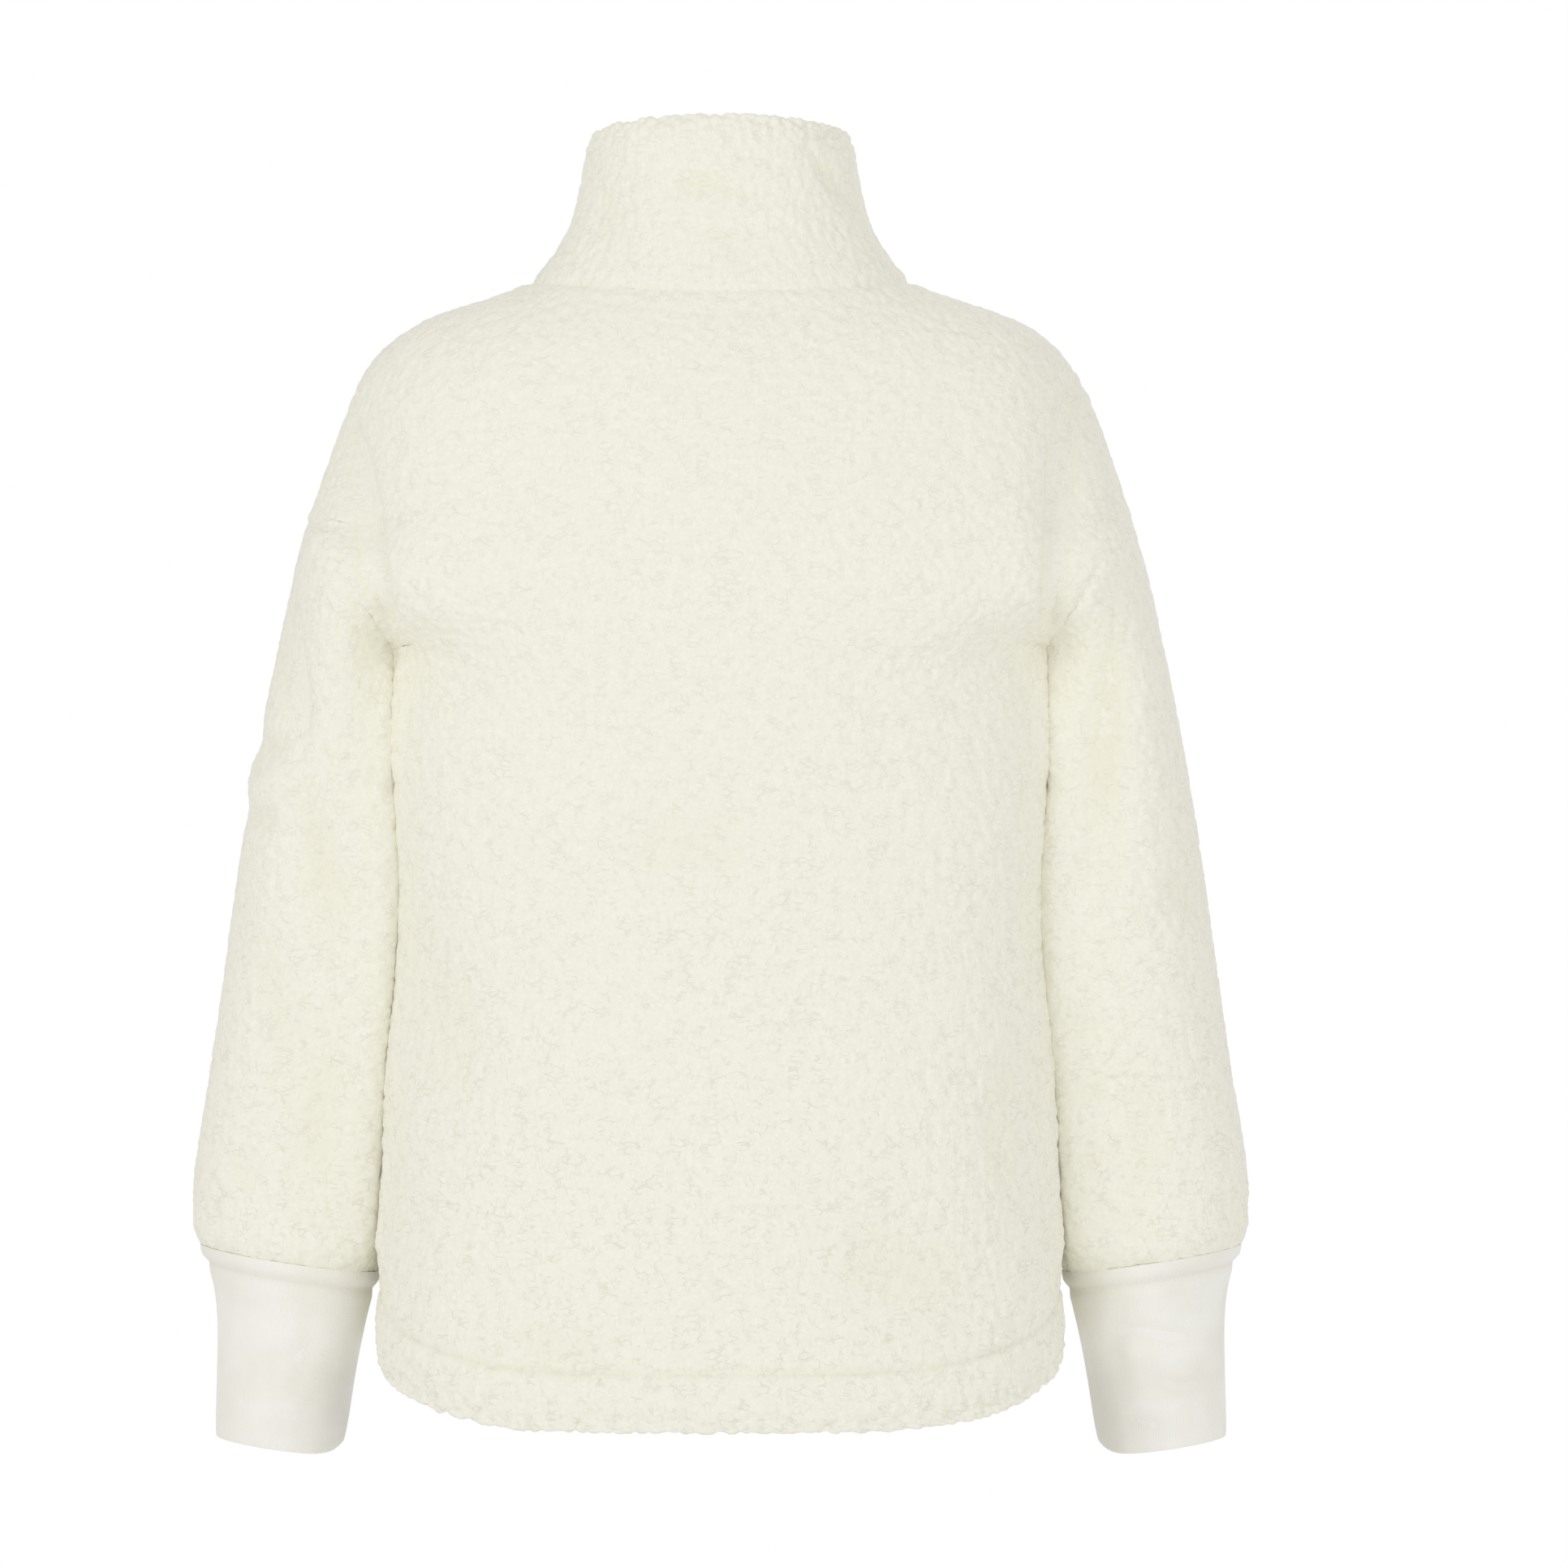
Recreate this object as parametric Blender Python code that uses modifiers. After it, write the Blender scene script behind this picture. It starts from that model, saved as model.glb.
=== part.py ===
"""Fleece jacket: stand collar, drop shoulders, full sleeves, knit cuffs and a long front zip.

Metres, +Z up. The origin is the middle of the neck base, level with the high points of the
shoulders. The back faces -Y, the front faces +Y and the wearer's right is at +X.
The jacket is filled out: each cloth piece is a wall lofted through sections of the garment.
"""
import math
from collections import namedtuple

import bpy
import numpy as np

# Cloth walls and the clearances between the pieces
PILE_WALL = 0.004
COLLAR_WALL = 0.0055
CUFF_WALL = 0.002
SEAM_INSET = 0.0002
RIM_ROUNDING = 0.4
SHARP_ANGLE = math.radians(50)
TAPE_WALL = 0.0008
TAPE_GAP = 0.0005
CHAIN_WALL = 0.0024
ZIP_GAP = 0.0003

# Front opening and zip
EDGE_X = 0.005
TAPE_INNER_X = 0.0034
TAPE_OUTER_X = 0.016
CHAIN_HALF_WIDTH = 0.003
ZIP_HEM_SHARE = 0.85
ZIP_TOP_SHARE = 0.8

# Grid of the panels: rows run down, columns run round
SHOULDER_ROWS = 8
ARMHOLE_ROWS = 10
TORSO_ROWS = 16
BACK_HALF_COLUMNS = 13
FRONT_COLUMNS = 12
SLEEVE_ROWS = 18
CUFF_ROWS = 5
COLLAR_ROWS = 6

# The rim's quads are split from the corner that lies further along this direction
SPLIT_DIRECTION = (0.11, 0.37, 1.0)

# Level sections are superellipses
WIDTH_POWER = 2.3
DEPTH_POWER = 2.3
ARMHOLE_HALF_DEPTH = 0.077
UNDERARM_STEP = 0.011
HEM_FLAT_ANGLE = math.radians(25)
HEM_RISE_POWER = 1.75

# Slider and pull tab, in the slider's own frame: Y outward, Z up the chain
SLIDER_HEIGHT = 0.052
SLIDER_SIZE = (0.0086, 0.0061, 0.011)
SLIDER_FACE = 0.0004
BAIL_WIDTH = 0.0022
BAIL_LENGTH = 0.0075
BAIL_RISE = 0.0032
BAIL_INNER_LENGTH = 0.005
BAIL_INNER_RISE = 0.0022
TAB_WIDTH = 0.0062
TAB_LENGTH = 0.028
TAB_THICKNESS = 0.0012
TAB_WINDOW_WIDTH = 0.0034
TAB_WINDOW_END = 0.0062
ZIP_BOX_SIZE = (0.009, 0.0034, 0.010)
CUTTER_SPAN = 0.01
BAIL_ROOT = 0.0005
SLIDER_BEVEL = 0.0009
SMALL_BEVEL = 0.0004
ZIP_BOX_BEVEL = 0.0007

Line = namedtuple("Line", "x y z")
Depth = namedtuple("Depth", "z back front")
Level = namedtuple("Level", "share half_width back front")
Fold = namedtuple("Fold", "face side x0 z0 x1 z1 width depth")

# Ridge of the shoulder, from the neck to the top of the armhole
SHOULDER_LINE = [
    Line(0.1090, 0.0, 0.0040),
    Line(0.1210, 0.0, -0.0020),
    Line(0.1495, 0.0, -0.0090),
    Line(0.1680, 0.0, -0.0155),
    Line(0.1850, 0.0, -0.0240),
    Line(0.2010, 0.0, -0.0380),
    Line(0.2120, 0.0, -0.0560),
    Line(0.2250, 0.0, -0.0940),
    Line(0.2385, 0.0, -0.1340),
]

# Side seam of the body, from the underarm to the hem
SIDE_LINE = [
    Line(0.1870, -0.004, -0.203),
    Line(0.1836, -0.012, -0.2135),
    Line(0.1838, -0.022, -0.232),
    Line(0.1832, -0.028, -0.260),
    Line(0.1820, -0.030, -0.300),
    Line(0.1790, -0.028, -0.350),
    Line(0.1820, -0.025, -0.400),
    Line(0.1870, -0.020, -0.450),
    Line(0.1900, -0.020, -0.520),
    Line(0.1970, -0.015, -0.583),
    Line(0.1990, -0.012, -0.606),
]

# Outer and inner lines of the sleeve, from the armhole to the cuff seam
SLEEVE_OUTER = [
    Line(0.2385, 0.000, -0.134),
    Line(0.2490, 0.001, -0.169),
    Line(0.2570, 0.003, -0.207),
    Line(0.2725, 0.009, -0.282),
    Line(0.2840, 0.014, -0.357),
    Line(0.2945, 0.017, -0.432),
    Line(0.3070, 0.019, -0.508),
    Line(0.3090, 0.020, -0.530),
    Line(0.3040, 0.020, -0.552),
]
SLEEVE_INNER = [
    Line(0.1870, -0.004, -0.203),
    Line(0.1906, 0.006, -0.2125),
    Line(0.1890, 0.014, -0.230),
    Line(0.1855, 0.020, -0.256),
    Line(0.1820, 0.022, -0.300),
    Line(0.1790, 0.022, -0.350),
    Line(0.1815, 0.022, -0.400),
    Line(0.1860, 0.022, -0.450),
    Line(0.1893, 0.021, -0.510),
    Line(0.1920, 0.020, -0.545),
    Line(0.1975, 0.020, -0.568),
]
SLEEVE_HALF_DEPTH = (0.077, 0.075, 0.070, 0.064, 0.058, 0.053, 0.047)
# How square the sleeve is where it presses against the back's edge: 2 is an ellipse
SLEEVE_SQUARENESS = (2.0, 2.5, 2.8, 2.8, 2.7, 2.5, 2.2)

# Outer and inner lines of the cuff, from its seam to its end
CUFF_OUTER = [
    Line(0.3040, 0.020, -0.552),
    Line(0.2975, 0.021, -0.566),
    Line(0.2940, 0.022, -0.585),
    Line(0.2940, 0.023, -0.610),
    Line(0.2955, 0.025, -0.664),
]
CUFF_INNER = [
    Line(0.1975, 0.020, -0.568),
    Line(0.2025, 0.021, -0.581),
    Line(0.2065, 0.022, -0.602),
    Line(0.2115, 0.023, -0.622),
    Line(0.2190, 0.026, -0.675),
]
CUFF_HALF_DEPTH = (0.047, 0.041, 0.038, 0.036, 0.035)
# The cuff's end rises to a rounded corner on its inner side
CUFF_CORNER_RISE = 0.008
CUFF_CORNER_POWER = 9

# Depth of the body at its centre lines
BODY_DEPTH = [
    Depth(-0.646, 0.128, 0.127),
    Depth(-0.570, 0.125, 0.126),
    Depth(-0.500, 0.120, 0.124),
    Depth(-0.430, 0.115, 0.121),
    Depth(-0.350, 0.112, 0.121),
    Depth(-0.270, 0.115, 0.124),
    Depth(-0.200, 0.119, 0.122),
    Depth(-0.150, 0.118, 0.113),
    Depth(-0.100, 0.112, 0.100),
    Depth(-0.060, 0.103, 0.089),
    Depth(-0.045, 0.098, 0.085),
    Depth(-0.030, 0.092, 0.082),
    Depth(-0.005, 0.078, 0.078),
]

# Heights of the centre lines at the neck, armhole top, underarm and hem
BACK_CENTRE_Z = (-0.005, -0.115, -0.235, -0.646)
FRONT_CENTRE_Z = (-0.045, -0.125, -0.235, -0.632)

# Collar: its half width and depths, by share of its height from the seam to the top edge
COLLAR_TOP_Z_BACK = 0.095
COLLAR_TOP_Z_SIDE = 0.090
COLLAR_TOP_Z_FRONT = 0.066
COLLAR_LEVELS = [
    Level(0.00, 0.1090, 0.078, 0.085),
    Level(0.17, 0.0985, 0.074, 0.082),
    Level(0.33, 0.0885, 0.071, 0.080),
    Level(0.50, 0.0840, 0.069, 0.078),
    Level(0.66, 0.0810, 0.067, 0.075),
    Level(0.83, 0.0785, 0.066, 0.073),
    Level(1.00, 0.0745, 0.064, 0.070),
]

# Main folds: troughs have a positive depth and ridges a negative one
FOLD_FACING_GAIN = 1.6
BOTH = 0
LEFT = -1
RIGHT = 1
FOLDS = [
    Fold("back", LEFT, -0.211, -0.072, -0.196, -0.132, 0.016, 0.007),
    Fold("back", LEFT, -0.196, -0.132, -0.190, -0.168, 0.014, 0.005),
    Fold("back", RIGHT, 0.201, -0.050, 0.190, -0.113, 0.016, 0.006),
    Fold("back", RIGHT, 0.190, -0.113, 0.188, -0.158, 0.014, 0.005),
    Fold("back", LEFT, -0.246, -0.188, -0.236, -0.249, 0.016, 0.007),
    Fold("back", LEFT, -0.236, -0.276, -0.272, -0.292, 0.014, -0.005),
    Fold("back", LEFT, -0.239, -0.285, -0.215, -0.371, 0.018, 0.005),
    Fold("back", RIGHT, 0.226, -0.174, 0.215, -0.329, 0.018, 0.005),
    Fold("back", RIGHT, 0.104, -0.560, 0.124, -0.570, 0.045, 0.004),
    Fold("back", LEFT, -0.154, -0.400, -0.150, -0.440, 0.040, 0.004),
    Fold("front", LEFT, -0.208, -0.070, -0.192, -0.165, 0.016, 0.006),
    Fold("front", RIGHT, 0.206, -0.066, 0.192, -0.160, 0.016, 0.006),
    Fold("front", LEFT, -0.262, -0.285, -0.215, -0.305, 0.016, 0.006),
    Fold("front", LEFT, -0.270, -0.335, -0.225, -0.345, 0.016, 0.004),
    Fold("front", RIGHT, 0.268, -0.300, 0.218, -0.322, 0.017, 0.006),
    Fold("front", RIGHT, 0.272, -0.420, 0.235, -0.412, 0.018, 0.004),
    Fold("front", LEFT, -0.110, -0.430, -0.060, -0.470, 0.040, 0.004),
    Fold("front", RIGHT, 0.120, -0.380, 0.080, -0.420, 0.040, 0.004),
]

# Colour, roughness and metallic value of each cloth and fitting
PILE = ((0.86, 0.84, 0.74), 0.95, 0.0)
COLLAR_PILE = ((0.85, 0.83, 0.73), 0.95, 0.0)
JERSEY = ((0.84, 0.83, 0.75), 0.90, 0.0)
TAPE = ((0.82, 0.80, 0.71), 0.85, 0.0)
MOULDED = ((0.78, 0.76, 0.67), 0.50, 0.0)
PLATED = ((0.72, 0.70, 0.66), 0.35, 1.0)


def clear_scene():
    """Removes what the open file holds."""
    for item in list(bpy.data.objects):
        bpy.data.objects.remove(item, do_unlink=True)


def add_collection(name):
    """A collection linked to the scene."""
    collection = bpy.data.collections.new(name)
    bpy.context.scene.collection.children.link(collection)
    return collection


def add_material(name, finish):
    """A Principled material from a colour, a roughness and a metallic value."""
    colour, roughness, metallic = finish
    material = bpy.data.materials.new(name)
    material.use_nodes = True
    shader = material.node_tree.nodes["Principled BSDF"]
    shader.inputs["Base Color"].default_value = (*colour, 1.0)
    shader.inputs["Roughness"].default_value = roughness
    shader.inputs["Metallic"].default_value = metallic
    material.diffuse_color = (*colour, 1.0)
    return material


def spline(points, dense=16):
    """A smooth curve through the points, closely sampled."""
    points = np.array(points, dtype=float)
    before = 2 * points[0] - points[1]
    after = 2 * points[-1] - points[-2]
    ring = np.vstack([before, points, after])
    samples = []
    for i in range(1, len(ring) - 2):
        p0, p1, p2, p3 = ring[i - 1], ring[i], ring[i + 1], ring[i + 2]
        for t in np.linspace(0, 1, dense, endpoint=False):
            curve = 2 * p1 + (p2 - p0) * t
            curve = curve + (2 * p0 - 5 * p1 + 4 * p2 - p3) * t ** 2
            curve = curve + (3 * p1 - p0 - 3 * p2 + p3) * t ** 3
            samples.append(0.5 * curve)
    samples.append(points[-1])
    return np.array(samples)


def spread(points, steps, first=None):
    """Points at even lengths along the smooth curve, after a first step of a given length."""
    curve = spline(points)
    runs = np.linalg.norm(np.diff(curve, axis=0), axis=1)
    length = np.concatenate([[0.0], np.cumsum(runs)])
    wanted = np.linspace(0, length[-1], steps + 1)
    if first:
        wanted = np.concatenate([[0.0], np.linspace(first, length[-1], steps)])
    return np.column_stack([np.interp(wanted, length, curve[:, k]) for k in range(curve.shape[1])])


def smooth_table(values, steps):
    """Values at even steps on the smooth curve through a row of numbers."""
    curve = spline([(i, value) for i, value in enumerate(values)])
    wanted = np.linspace(0, len(values) - 1, steps + 1)
    return np.interp(wanted, curve[:, 0], curve[:, 1])


def body_depth(z, facing):
    """Distance of the body's centre line from the origin's plane, at a height."""
    curve = spline(BODY_DEPTH)
    column = 1 if facing < 0 else 2
    return float(np.interp(z, curve[:, 0], curve[:, column]))


def centre_heights(stations):
    """Heights of the rows on a centre line."""
    neck, armhole, underarm, hem = stations
    shoulder = np.linspace(neck, armhole, SHOULDER_ROWS + 1)
    arm = np.linspace(armhole, underarm, ARMHOLE_ROWS + 1)
    torso = np.linspace(underarm, hem, TORSO_ROWS + 1)
    return np.concatenate([shoulder, arm[1:], torso[1:]])


def hem_rise(angle):
    """Share of the hem's rise at an angle from the centre line."""
    turned = max(0.0, angle - HEM_FLAT_ANGLE) / (math.pi / 2 - HEM_FLAT_ANGLE)
    return turned ** HEM_RISE_POWER


def armhole_point(step, facing):
    """A point of the armhole's edge, from its top to the underarm."""
    top = np.array(SHOULDER_LINE[-1])
    under = np.array(SIDE_LINE[0])
    turn = math.pi * step / ARMHOLE_ROWS
    base = top + (under - top) * (1 - math.cos(turn)) / 2
    return base, facing * ARMHOLE_HALF_DEPTH * math.sin(turn)


class BodySection:
    """One row of a body panel, from the centre line to its outer edge."""

    def __init__(self, row, facing, centre_z, side, torso_share):
        self.facing = facing
        self.centre_z = centre_z
        self.torso_share = torso_share
        self.depth = facing * body_depth(centre_z, facing)
        self.side_y = side[1]
        self.end_angle = math.pi / 2
        self.half_width = side[0]
        self.side_z = side[2]
        arm_row = row - SHOULDER_ROWS
        if 0 < arm_row < ARMHOLE_ROWS:
            self.cut_at_armhole(arm_row)

    def cut_at_armhole(self, arm_row):
        """Ends the row on the armhole's edge."""
        base, reach = armhole_point(arm_row, self.facing)
        self.side_y = base[1]
        share = reach / (self.depth - self.side_y)
        self.end_angle = math.acos(share ** (DEPTH_POWER / 2))
        sine = math.sin(self.end_angle)
        self.half_width = base[0] / sine ** (2 / WIDTH_POWER)
        self.side_z = self.centre_z + (base[2] - self.centre_z) / sine ** 2

    def at(self, angle):
        """The point at an angle from the centre line."""
        sine = math.sin(angle)
        cosine = max(0.0, math.cos(angle))
        x = self.half_width * sine ** (2 / WIDTH_POWER)
        y = self.side_y + (self.depth - self.side_y) * cosine ** (2 / DEPTH_POWER)
        level = sine ** 2 * (1 - self.torso_share) + hem_rise(angle) * self.torso_share
        return np.array([x, y, self.centre_z + (self.side_z - self.centre_z) * level])

    def angle_of(self, x):
        """The angle at which the row reaches a distance from the centre line."""
        return math.asin((x / self.half_width) ** (WIDTH_POWER / 2))


def body_sections(facing, stations):
    """The rows of a body panel, from the neck to the hem."""
    shoulder = spread(SHOULDER_LINE, SHOULDER_ROWS)
    side = spread(SIDE_LINE, TORSO_ROWS, UNDERARM_STEP)
    heights = centre_heights(stations)
    sections = []
    for row, height in enumerate(heights):
        torso_row = row - SHOULDER_ROWS - ARMHOLE_ROWS
        if row <= SHOULDER_ROWS:
            edge = shoulder[row]
        elif torso_row < 0:
            edge = shoulder[-1]
        else:
            edge = side[torso_row]
        share = max(0, torso_row) / TORSO_ROWS
        sections.append(BodySection(row, facing, height, edge, share))
    return sections


def half_panel(sections, columns, start_x):
    """Points of half a body panel: rows down, columns from the centre to the side."""
    grid = np.zeros((len(sections), columns + 1, 3))
    for i, section in enumerate(sections):
        start = section.angle_of(start_x) if start_x else 0.0
        for j in range(columns + 1):
            angle = start + (section.end_angle - start) * j / columns
            grid[i, j] = section.at(angle)
    return grid


def mirrored(grid):
    """The same piece on the other side, with its columns still running round the same way."""
    flipped = grid[:, ::-1].copy()
    flipped[..., 0] *= -1
    return flipped


def squared(value, power):
    """A sine or cosine as a superellipse of a power has it."""
    return math.copysign(abs(value) ** (2 / power), value)


def tube(first_ring, outer_line, inner_line, half_depths, rows, first=None, squareness=None):
    """Rings from a first ring down between an outer and an inner line.

    Where a squareness is given, the quarter between the inner line and the back follows it.
    """
    outer = spread(outer_line, rows)
    inner = spread(inner_line, rows, first)
    depth = smooth_table(half_depths, rows)
    power = smooth_table(squareness, rows) if squareness else [2.0] * (rows + 1)
    count = len(first_ring)
    grid = np.zeros((rows + 1, count, 3))
    grid[0] = first_ring
    for i in range(1, rows + 1):
        middle = (outer[i] + inner[i]) / 2
        reach = (outer[i] - inner[i]) / 2
        for j in range(count):
            turn = 2 * math.pi * j / count
            across, along = math.cos(turn), math.sin(turn)
            if across < 0 and along < 0:
                across, along = squared(across, power[i]), squared(along, power[i])
            grid[i, j] = middle + reach * across
            grid[i, j, 1] += depth[i] * along
    return grid


def round_cuff_corner(cuff):
    """Lifts the cuff's end near its inner line."""
    last = cuff[-1]
    for j in range(len(last)):
        inner_share = max(0.0, -math.cos(2 * math.pi * j / len(last)))
        last[j, 2] += CUFF_CORNER_RISE * inner_share ** CUFF_CORNER_POWER


def armhole_ring(back_edge, front_edge):
    """The armhole's edge as a ring: top, front, underarm, back."""
    return np.vstack([front_edge, back_edge[-2:0:-1]])


def collar_grid(neck):
    """Rows of the collar from its top edge down to the neck seam."""
    count = len(neck)
    levels = spline(COLLAR_LEVELS)
    grid = np.zeros((COLLAR_ROWS + 1, count, 3))
    for i in range(COLLAR_ROWS + 1):
        share = 1 - i / COLLAR_ROWS
        half_width = np.interp(share, levels[:, 0], levels[:, 1])
        back = np.interp(share, levels[:, 0], levels[:, 2])
        front = np.interp(share, levels[:, 0], levels[:, 3])
        for j in range(count):
            base = neck[j]
            across = base[0] / COLLAR_LEVELS[0].half_width
            facing_depth = COLLAR_LEVELS[0].front if base[1] > 0 else COLLAR_LEVELS[0].back
            along = base[1] / facing_depth
            centre_top = COLLAR_TOP_Z_FRONT if base[1] > 0 else COLLAR_TOP_Z_BACK
            top_z = COLLAR_TOP_Z_SIDE + (centre_top - COLLAR_TOP_Z_SIDE) * along ** 2
            x = across * half_width
            if abs(base[0]) < 2 * EDGE_X:
                x = base[0]
            y = along * (front if base[1] > 0 else back)
            grid[i, j] = (x, y, base[2] + (top_z - base[2]) * share)
    grid[-1] = neck
    return grid


def point_key(point):
    """A rounded place, the same for points that two pieces share at a seam."""
    return tuple(np.round(point, 6))


def shared_normals(grids, closed):
    """Outward directions at all points, averaged over the pieces that meet there."""
    total = {}
    for name, grid in grids.items():
        wrapped = np.concatenate([grid, grid[:, :1]], axis=1) if name in closed else grid
        across = wrapped[1:, 1:] - wrapped[:-1, :-1]
        along = wrapped[1:, :-1] - wrapped[:-1, 1:]
        faces = np.cross(along, across)
        for i in range(faces.shape[0]):
            for j in range(faces.shape[1]):
                for corner in ((i, j), (i + 1, j), (i, j + 1), (i + 1, j + 1)):
                    key = point_key(wrapped[corner])
                    total[key] = total.get(key, 0) + faces[i, j]
    normals = {}
    for name, grid in grids.items():
        normal = np.zeros_like(grid)
        for i in range(grid.shape[0]):
            for j in range(grid.shape[1]):
                vector = total[point_key(grid[i, j])]
                normal[i, j] = vector / np.linalg.norm(vector)
        normals[name] = normal
    return normals


def fold_depth(point, normal):
    """How far the folds move a point along its outward direction."""
    moved = 0.0
    for fold in FOLDS:
        facing = -normal[1] if fold.face == "back" else normal[1]
        if facing <= 0 or fold.side * point[0] < 0:
            continue
        start = np.array([fold.x0, fold.z0])
        run = np.array([fold.x1, fold.z1]) - start
        place = np.array([point[0], point[2]]) - start
        share = min(1.0, max(0.0, place @ run / (run @ run)))
        away = np.linalg.norm(place - share * run)
        strength = min(1.0, FOLD_FACING_GAIN * facing)
        moved -= fold.depth * strength * math.exp(-(away / fold.width) ** 2)
    return moved


def folded(grids, normals):
    """The pieces with their folds."""
    result = {}
    for name, grid in grids.items():
        changed = grid.copy()
        for i in range(grid.shape[0]):
            for j in range(grid.shape[1]):
                changed[i, j] += normals[name][i, j] * fold_depth(grid[i, j], normals[name][i, j])
        result[name] = changed
    return result


def edge_directions(grid, normal, edge, is_closed):
    """Directions into the piece along an edge, square to the edge and to the outward direction."""
    work = grid if edge in ("top", "bottom") else grid.transpose(1, 0, 2)
    out = normal if edge in ("top", "bottom") else normal.transpose(1, 0, 2)
    row, inner = (0, 1) if edge in ("top", "left") else (-1, -2)
    count = work.shape[1]
    directions = np.zeros((count, 3))
    for j in range(count):
        if is_closed:
            ahead, behind = (j + 1) % count, (j - 1) % count
        else:
            ahead, behind = min(j + 1, count - 1), max(j - 1, 0)
        tangent = work[row, ahead] - work[row, behind]
        square = np.cross(tangent, out[row, j])
        square /= np.linalg.norm(square)
        inward = work[inner, j] - work[row, j]
        directions[j] = square if square @ inward > 0 else -square
    return directions


def inset_grid(grid, normal, is_closed):
    """The piece with its edges drawn in, so that it stays clear of its neighbours."""
    moved = grid.copy()
    for edge in ("top", "bottom"):
        row = 0 if edge == "top" else -1
        moved[row] += SEAM_INSET * edge_directions(grid, normal, edge, is_closed)
    if not is_closed:
        for edge in ("left", "right"):
            column = 0 if edge == "left" else -1
            moved[:, column] += SEAM_INSET * edge_directions(grid, normal, edge, False)
    return moved


def rim_directions(grid, normal, edge, is_closed):
    """Directions out of the piece at a rounded edge, which follow the seams at its corners."""
    out = -edge_directions(grid, normal, edge, is_closed)
    if not is_closed:
        row, inner = (0, 1) if edge == "top" else (-1, -2)
        for column in (0, -1):
            run = grid[row, column] - grid[inner, column]
            out[column] = run / np.linalg.norm(run)
    return out


def rim_faces(quad, vertices, forward):
    """A rim's quad as two triangles, split the same way on both sides of a seam.

    The first two corners lie on one edge of the rim, the last two on the other.
    """
    def rank(corner):
        return np.dot(vertices[corner], SPLIT_DIRECTION)

    a, b, c, d = quad
    if rank(a) > rank(b):
        faces = [(a, b, c), (a, c, d)]
    else:
        faces = [(a, b, d), (b, c, d)]
    return faces if forward else [face[::-1] for face in faces]


def add_wall(name, grid, normal, thickness, finish, collection, is_closed=False, round_edge=None):
    """A closed wall: its outer side follows the points, its inner side lies a thickness in."""
    outer = inset_grid(grid, normal, is_closed)
    inner = outer - normal * thickness
    rows, columns = grid.shape[:2]
    vertices = [tuple(p) for p in outer.reshape(-1, 3)]
    vertices += [tuple(p) for p in inner.reshape(-1, 3)]
    half = rows * columns

    def at(i, j, layer):
        return layer * half + i * columns + j % columns

    faces = []
    column_steps = columns if is_closed else columns - 1
    for i in range(rows - 1):
        for j in range(column_steps):
            faces.append((at(i, j, 0), at(i + 1, j, 0), at(i + 1, j + 1, 0), at(i, j + 1, 0)))
            faces.append((at(i, j, 1), at(i, j + 1, 1), at(i + 1, j + 1, 1), at(i + 1, j, 1)))
    for edge in ("top", "bottom"):
        row = 0 if edge == "top" else rows - 1
        middle = []
        if edge == round_edge:
            out = rim_directions(grid, normal, edge, is_closed)
            for j in range(columns):
                centre = (outer[row, j] + inner[row, j]) / 2
                middle.append(len(vertices))
                vertices.append(tuple(centre + out[j] * thickness * RIM_ROUNDING))
        for j in range(column_steps):
            following = (j + 1) % columns
            chain = [(at(row, j, 0), at(row, following, 0)), (at(row, j, 1), at(row, following, 1))]
            if middle:
                chain.insert(1, (middle[j], middle[following]))
            for near, far in zip(chain[:-1], chain[1:]):
                faces += rim_faces((near[0], near[1], far[1], far[0]), vertices, edge == "top")
        if middle and not is_closed:
            first = (at(row, 0, 0), middle[0], at(row, 0, 1))
            last = (at(row, columns - 1, 0), middle[-1], at(row, columns - 1, 1))
            faces.append(first if edge == "top" else first[::-1])
            faces.append(last[::-1] if edge == "top" else last)
    if not is_closed:
        for j in (0, columns - 1):
            for i in range(rows - 1):
                quad = (at(i, j, 0), at(i + 1, j, 0), at(i + 1, j, 1), at(i, j, 1))
                faces += rim_faces(quad, vertices, j > 0)

    mesh = bpy.data.meshes.new(name)
    mesh.from_pydata(vertices, [], faces)
    mesh.update()
    mesh.shade_smooth()
    mesh.set_sharp_from_angle(angle=SHARP_ANGLE)
    mesh.materials.append(add_material(name + "_finish", finish))
    item = bpy.data.objects.new(name, mesh)
    collection.objects.link(item)
    return item


def body_grids():
    """The master points of the back and the two fronts."""
    back_sections = body_sections(-1, BACK_CENTRE_Z)
    front_sections = body_sections(1, FRONT_CENTRE_Z)
    back_half = half_panel(back_sections, BACK_HALF_COLUMNS, 0.0)
    front_half = half_panel(front_sections, FRONT_COLUMNS, EDGE_X)
    last_shoulder = SHOULDER_ROWS + 1
    first_torso = SHOULDER_ROWS + ARMHOLE_ROWS
    front_half[:last_shoulder, -1] = back_half[:last_shoulder, -1]
    front_half[first_torso:, -1] = back_half[first_torso:, -1]
    other_half = back_half[:, :0:-1].copy()
    other_half[..., 0] *= -1
    front_right = front_half[:, ::-1].copy()
    grids = {
        "back": np.concatenate([other_half, back_half], axis=1),
        "front_right": front_right,
        "front_left": mirrored(front_right),
    }
    return grids, back_half, front_half


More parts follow.
